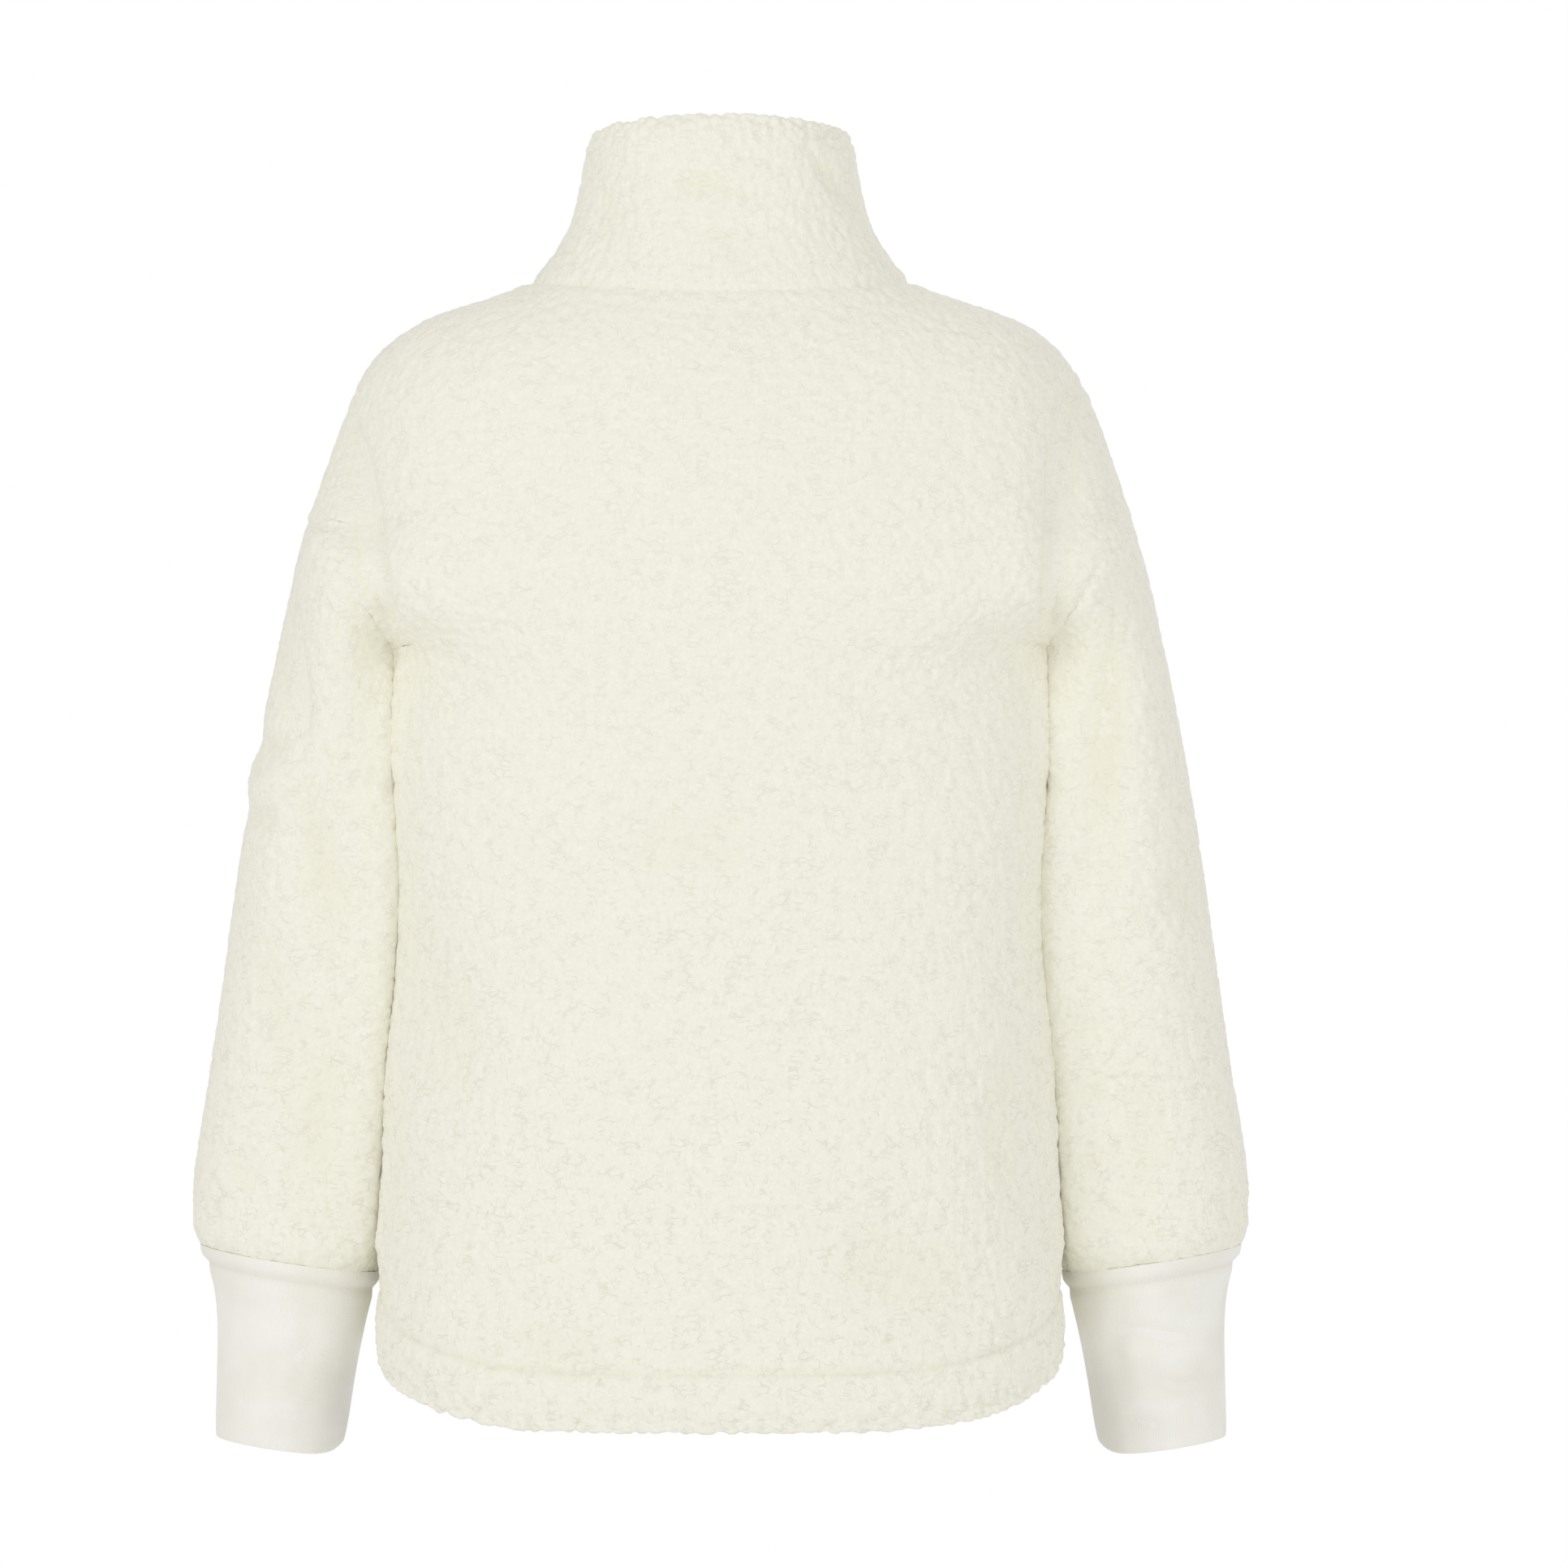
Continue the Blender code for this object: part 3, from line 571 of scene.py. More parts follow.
def bump_normal(sheet: NodeSheet, height: Socket, strength: float, distance: float) -> Socket:
    """Adds a Bump node and returns its normal.

    Args:
        sheet: The helper on the material's tree.
        height: The height socket.
        strength: The bump's strength.
        distance: The bump's height in metres.
    """
    inputs = {"Strength": strength, "Distance": distance, "Height": height}
    return sheet.add("ShaderNodeBump", inputs).outputs["Normal"]


def crease_shade_share(sheet: NodeSheet) -> Socket:
    """Returns the share of painted shade that the piece's attribute puts in a crease or a stitched
    groove.

    Args:
        sheet: The helper on the material's tree.
    """
    return sheet.add("ShaderNodeAttribute", attribute_name="crease_shade").outputs["Fac"]


@dataclass(frozen=True)
class PileFinish:
    """Off-white curly pile, with painted shade in its hollows, in the gaps between its clumps and
    in creases and grooves.
    """

    name: str
    crown: Colour = (0.935, 0.920, 0.815)
    # hollow is painted shade in the pile's low spots, and the random drift below also mixes
    # towards it.
    hollow: Colour = (0.910, 0.893, 0.780)
    # gap is painted shade in the short gaps between the clumps.
    gap: Colour = (0.760, 0.735, 0.610)
    # Painted shade in creases and stitched grooves.
    crease_shade: Colour = (0.882, 0.856, 0.702)
    sheen: Colour = (1.0, 0.97, 0.90)
    # How much of the painted gap shade shows at most.
    gap_shade_share: float = 0.56
    bump: float = 0.30
    bump_height: float = 0.0010

    def build(self, pile: bpy.types.NodeTree) -> bpy.types.Material:
        """Makes the material.

        Args:
            pile: The curly pile group.

        Returns:
            The material.
        """
        material, sheet, shader = new_material(self.name)
        places = sheet.add("ShaderNodeTexCoord").outputs["Object"]
        group = sheet.add("ShaderNodeGroup", node_tree=pile)
        sheet.feed(group, {"Vector": places})
        # Painted shade: the pile is darker where it lies low between its clumps' crowns.
        raised = sheet.range(group.outputs["Height"], 0.15, 0.95)
        base = sheet.mix(raised, self.hollow, self.crown)
        drift = sheet.range(group.outputs["Cloud"], 0.3, 0.7, 0.0, 0.2)
        base = sheet.mix(drift, base, self.hollow)
        # Painted shade in the gaps between the clumps, more of it towards the bottom.
        z = sheet.add("ShaderNodeSeparateXYZ", {0: places}).outputs["Z"]
        gap_shade_towards_bottom = sheet.range(z, -0.15, -0.60, self.gap_shade_share * 0.5, self.gap_shade_share)
        base = sheet.mix(sheet.math("MULTIPLY", group.outputs["Gap"], gap_shade_towards_bottom), base, self.gap)
        inputs = {
            # Painted shade where the attribute marks a crease or a stitched groove.
            "Base Color": sheet.mix(crease_shade_share(sheet), base, self.crease_shade),
            "Roughness": 0.95,
            "Specular IOR Level": 0.2,
            "Sheen Weight": 0.25,
            "Sheen Roughness": 0.6,
            "Sheen Tint": self.sheen,
            "Normal": bump_normal(sheet, group.outputs["Height"], self.bump, self.bump_height),
        }
        sheet.feed(shader, inputs)
        return material


@dataclass(frozen=True)
class KnitFinish:
    """Smooth off-white knit, or the woven cloth of the tapes, with painted shade in the knit's
    creases and grooves.
    """

    name: str
    light: Colour = (0.945, 0.932, 0.880)
    shade: Colour = (0.895, 0.878, 0.795)
    # Painted shade in creases and stitched grooves.
    crease_shade: Colour = (0.855, 0.830, 0.740)
    wales: float = 950.0
    bump: float = 0.35
    bump_height: float = 0.0003

    def build(self, knit: bpy.types.NodeTree) -> bpy.types.Material:
        """Makes the material, whose pattern follows the piece's UV map.

        Args:
            knit: The plain knit group.

        Returns:
            The material.
        """
        material, sheet, shader = new_material(self.name)
        places = sheet.add("ShaderNodeTexCoord").outputs["UV"]
        group = sheet.add("ShaderNodeGroup", node_tree=knit)
        sheet.feed(group, {"Vector": places, "Wales per Metre": self.wales})
        base = sheet.mix(sheet.range(group.outputs["Cloud"], 0.3, 0.7), self.light, self.shade)
        inputs = {
            # Painted shade where the attribute marks a crease or a stitched groove.
            "Base Color": sheet.mix(crease_shade_share(sheet), base, self.crease_shade),
            "Roughness": 0.88,
            "Specular IOR Level": 0.25,
            "Sheen Weight": 0.15,
            "Normal": bump_normal(sheet, group.outputs["Height"], self.bump, self.bump_height),
        }
        sheet.feed(shader, inputs)
        return material


@dataclass(frozen=True)
class HardFinish:
    """Moulded plastic or plated metal of the zip."""

    name: str
    light: Colour
    shade: Colour
    roughness: float
    metallic: float
    grain_per_metre: float = 2500.0

    def build(self) -> bpy.types.Material:
        """Makes the material.

        Returns:
            The material, with a fine grain and small changes of gloss.
        """
        material, sheet, shader = new_material(self.name)
        places = sheet.add("ShaderNodeTexCoord").outputs["Object"]
        grain = sheet.noise(places, self.grain_per_metre, 3.0).outputs["Fac"]
        matt, dull = self.roughness - 0.05, self.roughness + 0.08
        inputs = {
            "Base Color": sheet.mix(sheet.range(grain, 0.35, 0.65), self.light, self.shade),
            "Roughness": sheet.range(grain, 0.3, 0.7, matt, dull),
            "Metallic": self.metallic,
            "Normal": bump_normal(sheet, grain, 0.15, 0.0001),
        }
        sheet.feed(shader, inputs)
        return material


# Folds, by piece. Points are (x, z) as seen from the back, with +x to the right, and each row
# ends with the width and the depth.


def lay(facing: Facing, *rows: tuple) -> tuple[Fold, ...]:
    """Returns the plain folds of one side, a row each.

    Args:
        facing: The side that they lie on.
        *rows: The line's points, then the width and the depth.
    """
    return tuple(Fold(facing, tuple(points), width, depth) for *points, width, depth in rows)


LEFT_CREASE = (
    (-0.2120, -0.068),
    (-0.2025, -0.105),
    (-0.1955, -0.135),
    (-0.1890, -0.175),
    (-0.1860, -0.212),
)
RIGHT_CREASE = (
    (0.1845, -0.212),
    (0.1862, -0.175),
    (0.1885, -0.140),
    (0.1905, -0.105),
    (0.2000, -0.055),
)


def moved_aside(points: SeenLine, x: float) -> SeenLine:
    """Returns a line moved sideways.

    Args:
        points: The line's points.
        x: How far it moves.
    """
    return tuple((place + x, height) for place, height in points)


BACK_FOLDS = (
    Fold(Facing.BACK, LEFT_CREASE, 0.016, 0.0070, left_width=0.0045),
    Fold(Facing.BACK, RIGHT_CREASE, 0.016, 0.0070, left_width=0.0042),
    Fold(Facing.BACK, moved_aside(LEFT_CREASE, -0.0026), 0.0030, 0.0048),
    Fold(Facing.BACK, moved_aside(RIGHT_CREASE, 0.0026), 0.0032, 0.0066),
) + lay(
    Facing.BACK,
    ((-0.186, -0.085), (-0.178, -0.135), (-0.176, -0.190), 0.014, -0.0022),
    ((0.178, -0.070), (0.174, -0.120), (0.173, -0.190), 0.014, -0.0022),
    ((-0.222, -0.1530), (-0.211, -0.1590), 0.0026, 0.0012),
    ((-0.205, -0.1655), (-0.197, -0.1750), 0.0026, 0.0014),
    ((-0.209, -0.1800), (-0.203, -0.1870), 0.0026, 0.0011),
    ((-0.214, -0.1650), (-0.203, -0.1725), 0.0030, -0.0008),
    ((0.234, -0.1350), (0.213, -0.1500), (0.190, -0.1690), 0.0032, -0.0008),
    ((0.216, -0.1560), (0.206, -0.1640), 0.0026, 0.0009),
    ((0.060, -0.540), (0.114, -0.562), (0.150, -0.566), 0.022, 0.0026),
    ((-0.160, -0.380), (-0.150, -0.430), (-0.154, -0.470), 0.018, 0.0022),
    ((0.165, -0.420), (0.158, -0.480), (0.164, -0.540), 0.016, 0.0018),
    ((-0.060, -0.300), (-0.020, -0.318), (0.030, -0.322), 0.026, 0.0014),
    ((-0.130, -0.590), (-0.090, -0.604), (-0.050, -0.606), 0.018, 0.0016),
)

FRONT_FOLDS = lay(
    Facing.FRONT,
    ((-0.208, -0.060), (-0.198, -0.110), (-0.192, -0.158), 0.011, 0.0050),
    ((0.206, -0.056), (0.197, -0.105), (0.192, -0.152), 0.010, 0.0050),
    ((-0.176, -0.120), (-0.140, -0.160), (-0.110, -0.178), 0.014, 0.0022),
    ((0.178, -0.128), (0.150, -0.150), (0.104, -0.172), 0.013, 0.0020),
    ((-0.030, -0.280), (-0.060, -0.330), (-0.064, -0.390), 0.018, 0.0022),
    ((0.036, -0.330), (0.058, -0.372), (0.054, -0.430), 0.016, 0.0020),
    ((-0.150, -0.460), (-0.100, -0.484), (-0.050, -0.486), 0.020, 0.0024),
    ((0.150, -0.500), (0.110, -0.520), (0.060, -0.524), 0.018, 0.0022),
    ((0.020, -0.560), (0.026, -0.600), 0.012, 0.0016),
    ((-0.018, -0.100), (-0.040, -0.130), (-0.046, -0.170), 0.014, 0.0016),
)

SLEEVE_FOLDS = (
    Fold(
        Facing.BACK,
        ((-0.2520, -0.160), (-0.2470, -0.200), (-0.2420, -0.230), (-0.2370, -0.262)),
        0.0120,
        0.0085,
        left_width=0.0060,
        taper=0.22,
    ),
) + lay(
    Facing.BACK,
    ((-0.236, -0.272), (-0.254, -0.284), (-0.276, -0.292), 0.0080, -0.0042),
    ((-0.246, -0.256), (-0.256, -0.262), (-0.270, -0.260), 0.0070, 0.0034),
    ((-0.250, -0.304), (-0.262, -0.306), (-0.280, -0.300), 0.0075, 0.0036),
    ((-0.238, -0.284), (-0.229, -0.320), (-0.214, -0.372), 0.012, 0.0034),
    ((-0.268, -0.360), (-0.252, -0.420), (-0.256, -0.470), 0.016, 0.0020),
    ((-0.222, -0.430), (-0.230, -0.480), (-0.226, -0.520), 0.014, 0.0022),
    ((-0.286, -0.500), (-0.262, -0.516), 0.010, 0.0016),
    ((0.228, -0.170), (0.220, -0.255), (0.214, -0.330), 0.012, 0.0042),
    ((0.254, -0.330), (0.268, -0.352), (0.284, -0.360), 0.012, 0.0022),
    ((0.246, -0.210), (0.240, -0.250), 0.012, -0.0016),
    ((0.202, -0.420), (0.220, -0.428), 0.007, 0.0018),
    ((0.204, -0.455), (0.226, -0.468), 0.008, 0.0020),
    ((0.206, -0.500), (0.222, -0.504), 0.007, 0.0018),
    ((0.236, -0.440), (0.246, -0.500), (0.240, -0.530), 0.014, 0.0018),
) + lay(
    Facing.FRONT,
    ((-0.270, -0.272), (-0.240, -0.300), (-0.208, -0.306), 0.012, 0.0050),
    ((-0.276, -0.328), (-0.246, -0.342), (-0.214, -0.340), 0.011, 0.0034),
    ((-0.246, -0.170), (-0.236, -0.220), (-0.222, -0.262), 0.013, 0.0034),
    ((-0.282, -0.410), (-0.256, -0.424), 0.012, 0.0024),
    ((-0.226, -0.450), (-0.234, -0.505), 0.012, 0.0022),
    ((0.272, -0.286), (0.246, -0.314), (0.210, -0.324), 0.013, 0.0048),
    ((0.280, -0.350), (0.250, -0.366), (0.216, -0.360), 0.011, 0.0030),
    ((0.244, -0.165), (0.238, -0.225), (0.226, -0.270), 0.014, 0.0032),
    ((0.288, -0.440), (0.262, -0.452), (0.240, -0.446), 0.012, 0.0026),
    ((0.230, -0.480), (0.244, -0.530), 0.012, 0.0020),
)

COLLAR_FOLDS = lay(
    Facing.BACK,
    ((-0.034, 0.050), (-0.008, 0.057), (0.020, 0.050), 0.0055, 0.0030),
    ((-0.030, 0.062), (-0.006, 0.068), (0.018, 0.062), 0.008, -0.0012),
    ((0.052, 0.076), (0.066, 0.058), (0.082, 0.042), 0.0065, 0.0026),
    ((-0.070, 0.060), (-0.062, 0.038), (-0.066, 0.018), 0.010, 0.0018),
    ((-0.020, 0.020), (0.010, 0.026), (0.040, 0.020), 0.012, 0.0010),
) + lay(
    Facing.FRONT,
    ((-0.060, 0.030), (-0.036, 0.018), (-0.014, 0.022), 0.008, 0.0024),
    ((0.062, 0.010), (0.040, -0.004), (0.016, 0.000), 0.008, 0.0022),
    ((-0.070, -0.006), (-0.046, -0.018), 0.009, 0.0018),
)

CUFF_FOLDS = lay(
    Facing.BACK,
    ((-0.286, -0.612), (-0.262, -0.618), (-0.232, -0.612), 0.007, 0.0012),
    ((-0.236, -0.586), (-0.240, -0.612), (-0.248, -0.640), 0.007, 0.0014),
    ((-0.266, -0.654), (-0.246, -0.660), 0.006, 0.0012),
    ((0.226, -0.597), (0.254, -0.603), (0.284, -0.606), 0.0065, 0.0024),
    ((0.236, -0.613), (0.262, -0.616), (0.286, -0.612), 0.0050, -0.0010),
    ((0.246, -0.627), (0.266, -0.634), (0.288, -0.630), 0.0060, 0.0024),
    ((0.230, -0.648), (0.246, -0.655), (0.262, -0.655), 0.0065, 0.0020),
    ((0.232, -0.585), (0.228, -0.612), (0.234, -0.640), 0.0060, 0.0016),
) + lay(
    Facing.FRONT,
    ((-0.284, -0.606), (-0.250, -0.614), (-0.224, -0.608), 0.006, 0.0010),
    ((-0.280, -0.638), (-0.246, -0.644), 0.006, 0.0009),
    ((0.226, -0.610), (0.256, -0.618), (0.284, -0.612), 0.006, 0.0010),
    ((0.232, -0.642), (0.270, -0.648), 0.006, 0.0009),
)

UPPER_SLEEVE = (
    (0.1880, -0.030, -0.206),
    (0.1897, -0.040, -0.226),
    (0.1895, -0.040, -0.272),
)
MIDDLE_SLEEVE = ((0.1895, -0.041, -0.224), (0.1895, -0.041, -0.262))
LOWER_SLEEVE = (
    (0.1920, -0.038, -0.300),
    (0.1905, -0.032, -0.350),
    (0.1960, -0.027, -0.430),
    (0.2010, -0.022, -0.510),
    (0.2040, -0.019, -0.545),
)
ARMHOLE = (
    (0.2240, -0.048, -0.152),
    (0.2120, -0.060, -0.166),
    (0.2005, -0.067, -0.181),
    (0.1925, -0.048, -0.196),
)


def on_both_sides(points: SpaceLine, radius: float, height: float) -> tuple[Swell, Swell]:
    """Returns a swelling on the right and the same one on the left.

    Args:
        points: The right one's line.
        radius: How wide it is.
        height: How high it is.
    """
    mirrored = tuple((-x, y, z) for x, y, z in points)
    return Swell(points, radius, height), Swell(mirrored, radius, height)


SWELLS = (
    *on_both_sides(UPPER_SLEEVE, 0.013, 0.0095),
    *on_both_sides(MIDDLE_SLEEVE, 0.011, 0.0022),
    *on_both_sides(LOWER_SLEEVE, 0.015, 0.0102),
    *on_both_sides(ARMHOLE, 0.009, 0.0055),
    Swell(((-0.265, 0.000, -0.2585),), 0.009, -0.0032),
    Swell(((-0.272, 0.000, -0.2800),), 0.011, 0.0016),
    Swell(((-0.274, 0.000, -0.3000),), 0.009, -0.0028),
)

# Rough spots beside the seams, which are evened out further, with their reach.
CALM_SPOTS = {
    (0.220, -0.035, -0.1325): 0.024,
    (-0.220, -0.035, -0.1325): 0.024,
    (0.185, -0.030, -0.204): 0.011,
    (-0.185, -0.030, -0.204): 0.011,
}
CALM_PASSES = 60
CALM_SHARE = 0.6
SMOOTH_SHARE = 0.5

FACING_SHARPNESS = 2.2
END_STRENGTH = 0.25
# Painted crease shade: a fold this deep gets all of it, and it fades with the next power across
# the fold.
FULL_SHADE_DEPTH = 0.006
SHADE_POWER = 1.5


def fold_field(
    places: np.ndarray, normals: np.ndarray, folds: tuple[Fold, ...]
) -> tuple[np.ndarray, np.ndarray]:
    """Works out how far folds move places outward, and how much painted shade lies in their
    hollows.

    Args:
        places: The places, a row each.
        normals: Their outward directions.
        folds: The folds.

    Returns:
        One outward move and one share of painted crease shade for each place.
    """
    moved = np.zeros(len(places))
    crease_shade = np.zeros(len(places))
    seen = places[:, [0, 2]]
    for fold in folds:
        facing = np.clip(fold.facing.value * normals[:, 1] * FACING_SHARPNESS, 0.0, 1.0)
        line = np.array(fold.points)
        lengths = np.linalg.norm(np.diff(line, axis=0), axis=1)
        total = lengths.sum()
        nearest = np.full(len(places), 1.0)
        width = np.full(len(places), fold.width)
        share = np.zeros(len(places))
        done = 0.0
        for start, end, length in zip(line[:-1], line[1:], lengths):
            run = (end - start) / length
            along = np.clip((seen - start) @ run, 0.0, length)
            away = np.linalg.norm(seen - start - along[:, None] * run, axis=1)
            closer = away < nearest
            nearest[closer] = away[closer]
            if fold.left_width:
                aside = seen[closer] - start
                is_left = run[0] * aside[:, 1] - run[1] * aside[:, 0] > 0
                width[closer] = np.where(is_left, fold.left_width, fold.width)
            share[closer] = (done + along[closer]) / total
            done += length
        ends = smooth_step(share / fold.taper) * smooth_step((1 - share) / fold.taper)
        strength = END_STRENGTH + (1.0 - END_STRENGTH) * ends
        hollow = strength * facing * np.exp(-((nearest / width) ** 2))
        moved -= fold.depth * hollow
        # Painted shade in the fold's hollow, fuller in deeper folds.
        if fold.depth > 0:
            crease_shade += min(1.0, fold.depth / FULL_SHADE_DEPTH) * hollow**SHADE_POWER
    return moved, np.clip(crease_shade, 0.0, 1.0)


FINE_LAYERS = (Layer.OUTER.value, Layer.ROUND_RIM.value)
MERGE_DISTANCE = 0.00002
JOIN_ANGLE = math.radians(60)
RIM_TURN = math.radians(40)
ROUND_RIM_SHARE = 0.76
RIM_SHARE = 1.15
SEAM_REACH = 0.0018
EDGE_REACH = 0.036
ZIP_EDGE_REACH = 0.0062
# How much painted shade a stitched groove gets.
GROOVE_SHADE = 0.6
SHAGGY_EDGE = 1.1
SHAGGY_WIDTH = 0.008
MOST_TRIANGLES = 196_000


def pile_field(places: np.ndarray, wanted: np.ndarray) -> np.ndarray:
    """Works out the height of the pile's clumps.

    Args:
        places: The places, a row each.
        wanted: Which places have pile.

    Returns:
        A height for each place, about -0.5 to 1.
    """
    clump_size, tuft_size, drift_size = 0.0050, 0.0080, 0.032
    crown, fall, tuft_share, drift_share = 0.6, 1.4, 0.2, 0.35
    result = np.zeros(len(places))
    for index in np.flatnonzero(wanted):
        place = Vector(places[index])
        nearest = noise.voronoi(place / clump_size)[0][0]
        tuft = noise.noise(place / tuft_size)
        drift = noise.noise(place / drift_size)
        clump = crown - fall * nearest * nearest
        result[index] = clump + tuft_share * tuft + drift_share * drift
    return result


@dataclass
class ClothPanel:
    """A cloth piece: a shell on the form of its solid, with its folds, seams and pile.

    Attributes:
        node: The solid that the piece stands for.
        wall: The solid's wall.
        flat: The width and length that the piece is cut to; not used here.
        flat_area: The area of the cut; not used here.
        cuts: How finely the outer side is divided.
        folds: The piece's folds.
        swells: Its swellings.
        seams: The shape beside each seam, by the neighbour's name.
        edges: The shape beside each free edge.
        smoothing: How many times the outer side is evened out.
        pile: How high the pile's clumps stand.
        slot: The record's material slot.
        shape: The piece's object, once it is made.
    """

    node: str
    wall: float
    flat: tuple[float, float]
    flat_area: float
    cuts: int = 4
    folds: tuple[Fold, ...] = ()
    swells: tuple[Swell, ...] = ()
    seams: dict[str, EdgeShape] = field(default_factory=dict)
    edges: dict[Opening, EdgeShape] = field(default_factory=dict)
    smoothing: int = 10
    pile: float = 0.0013
    slot: str = "fleece"
    shape: bpy.types.Object | None = None

    def copy_solid(self) -> None:
        """Copies the solid's mesh, merges its loose triangles and marks its layers."""
        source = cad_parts[self.node]
        self.shape = bpy.data.objects.new(self.node + "_cloth", source.data.copy())
        bpy.context.scene.collection.objects.link(self.shape)
        self.shape.data.materials.clear()
        with editing(self.shape):
            bpy.ops.mesh.remove_doubles(threshold=MERGE_DISTANCE)
            bpy.ops.mesh.customdata_custom_splitnormals_clear()
        self.mark_layers()
        with editing(self.shape):
            bpy.ops.mesh.tris_convert_to_quads(
                face_threshold=JOIN_ANGLE, shape_threshold=JOIN_ANGLE, materials=True
            )
            bpy.ops.mesh.faces_shade_smooth()

    def mark_layers(self) -> None:
        """Tells outer, inner and rim faces apart by the lengths of their edges and by area."""
        mesh = bmesh.new()
        mesh.from_mesh(self.shape.data)
        waiting = set()
        for face in mesh.faces:
            shortest = min(edge.calc_length() for edge in face.edges)
            if shortest < ROUND_RIM_SHARE * self.wall:
                face.material_index = Layer.ROUND_RIM.value
            elif shortest < RIM_SHARE * self.wall:
                face.material_index = Layer.RIM.value
            else:
                face.material_index = Layer.OUTER.value
                waiting.add(face)
        groups = []
        while waiting:
            queue = [waiting.pop()]
            group = []
            while queue:
                face = queue.pop()
                group.append(face)
                beside = {other for edge in face.edges for other in edge.link_faces} & waiting
                waiting -= beside
                queue += beside
            groups.append(group)
        groups.sort(key=lambda group: -sum(face.calc_area() for face in group))
        for face in sum(groups[1:], []):
            face.material_index = Layer.INNER.value
        if len(groups) != 2:
            LOG.warning("%s has %d sides", self.node, len(groups))
        crease = mesh.edges.layers.float.new("crease_edge")
        for edge in mesh.edges:
            kinds = {face.material_index for face in edge.link_faces}
            turned = kinds == {Layer.RIM.value} and edge.calc_face_angle(0.0) > RIM_TURN
            if turned or (Layer.RIM.value in kinds and len(kinds) > 1):
                edge[crease] = 1.0
        mesh.to_mesh(self.shape.data)
        mesh.free()

    def refine(self) -> None:
        """Rounds the coarse mesh off and divides its outer side finely."""
        rounding = self.shape.modifiers.new("Rounding", "SUBSURF")
        rounding.levels = rounding.render_levels = 1
        apply_modifiers(self.shape)
        mesh = self.shape.data
        kinds = np.empty(len(mesh.polygons), dtype=np.int32)
        mesh.polygons.foreach_get("material_index", kinds)
        mesh.polygons.foreach_set("select", np.isin(kinds, FINE_LAYERS))
        mesh.edges.foreach_set("select", np.zeros(len(mesh.edges), dtype=bool))
        mesh.vertices.foreach_set("select", np.zeros(len(mesh.vertices), dtype=bool))
        with editing(self.shape, select_all=False):
            bpy.ops.mesh.select_mode(type="FACE")
            bpy.ops.mesh.subdivide(number_cuts=self.cuts, smoothness=0.0)
        self.smooth_outer()
        self.mark_sharp_rims()

    def layer_vertices(self, *layers: Layer) -> np.ndarray:
        """Finds the vertices that lie on faces of the layers.

        Args:
            *layers: The layers.

        Returns:
            Whether each vertex lies on such a face.
        """
        mesh = self.shape.data
        wanted = {layer.value for layer in layers}
        mask = np.zeros(len(mesh.vertices), dtype=bool)
        for face in mesh.polygons:
            if face.material_index in wanted:
                mask[list(face.vertices)] = True
        return mask

    def smooth_outer(self) -> None:
        """Evens the outer side out, its rough spots further, and keeps its seams in place."""
        mesh = self.shape.data
        free = self.layer_vertices(Layer.OUTER, Layer.ROUND_RIM)
        free &= ~self.layer_vertices(Layer.RIM, Layer.INNER)
        ends = np.empty(len(mesh.edges) * 2, dtype=np.int64)
        mesh.edges.foreach_get("vertices", ends)
        ends = ends.reshape(-1, 2)
        places = vertex_places(mesh)
        even_out(places, ends, SMOOTH_SHARE * free, self.smoothing)
        for spot, reach in CALM_SPOTS.items():
            away = np.linalg.norm(places - np.array(spot), axis=1)
            near = (away[ends] < 2 * reach).all(axis=1)
            share = CALM_SHARE * free * np.exp(-((away / reach) ** 2))
            even_out(places, ends[near], share, CALM_PASSES)
        move_vertices(mesh, places)

    def mark_sharp_rims(self) -> None:
        """Keeps the shading of the outer side apart from the seam rims."""
        mesh = bmesh.new()
        mesh.from_mesh(self.shape.data)
        for edge in mesh.edges:
            kinds = {face.material_index for face in edge.link_faces}
            if Layer.RIM.value in kinds and len(kinds) > 1:
                edge.smooth = False
        mesh.to_mesh(self.shape.data)
        mesh.free()

    def find_rims(self) -> None:
        """Keeps the outer side's directions and its seam edge: its vertices and places."""
        mesh = self.shape.data
        self.normals = np.zeros((len(mesh.vertices), 3))
        for face in mesh.polygons:
            if face.material_index in FINE_LAYERS:
                self.normals[list(face.vertices)] += np.array(face.normal) * face.area
        lengths = np.linalg.norm(self.normals, axis=1)
        self.normals[lengths > 0] /= lengths[lengths > 0][:, None]
        mask = self.layer_vertices(Layer.OUTER) & self.layer_vertices(Layer.RIM)
        self.rim = np.flatnonzero(mask)
        self.rim_places = vertex_places(mesh)[self.rim]
        self.rim_normals = self.normals[self.rim]

    def close_seams(self, neighbours: dict[str, "ClothPanel"]) -> None:
        """Brings the seam edge to the middle of the narrow gaps to its neighbours.

        Args:
            neighbours: All cloth pieces by node, with their rims found.
        """
        names = list(self.seams)
        others = np.vstack([neighbours[name].rim_places for name in names])
        normals = np.vstack([neighbours[name].rim_normals for name in names])
        owner = np.repeat(names, [len(neighbours[name].rim) for name in names])
        tree = place_tree(others)
        places = vertex_places(self.shape.data)
        self.seam_places: dict[str, list[np.ndarray]] = {name: [] for name in names}
        for vertex, place in zip(self.rim, self.rim_places):
            _, index, distance = tree.find(Vector(place))
            if distance > SEAM_REACH:
                continue
            places[vertex] = (place + others[index]) / 2
            shared = self.normals[vertex] + normals[index]
            self.normals[vertex] = shared / np.linalg.norm(shared)
            self.seam_places[owner[index]].append(places[vertex])
        move_vertices(self.shape.data, places)

    def edge_places(self, opening: Opening) -> np.ndarray:
        """Finds the places along a free edge.

        Args:
            opening: Which edge.

        Returns:
            The places, a row each.
        """
        if opening is Opening.FRONT:
            places = self.rim_places
            return places[(np.abs(places[:, 0]) < ZIP_EDGE_REACH) & (places[:, 1] > 0)]
        mask = self.layer_vertices(Layer.OUTER) & self.layer_vertices(Layer.ROUND_RIM)
        return vertex_places(self.shape.data)[mask]

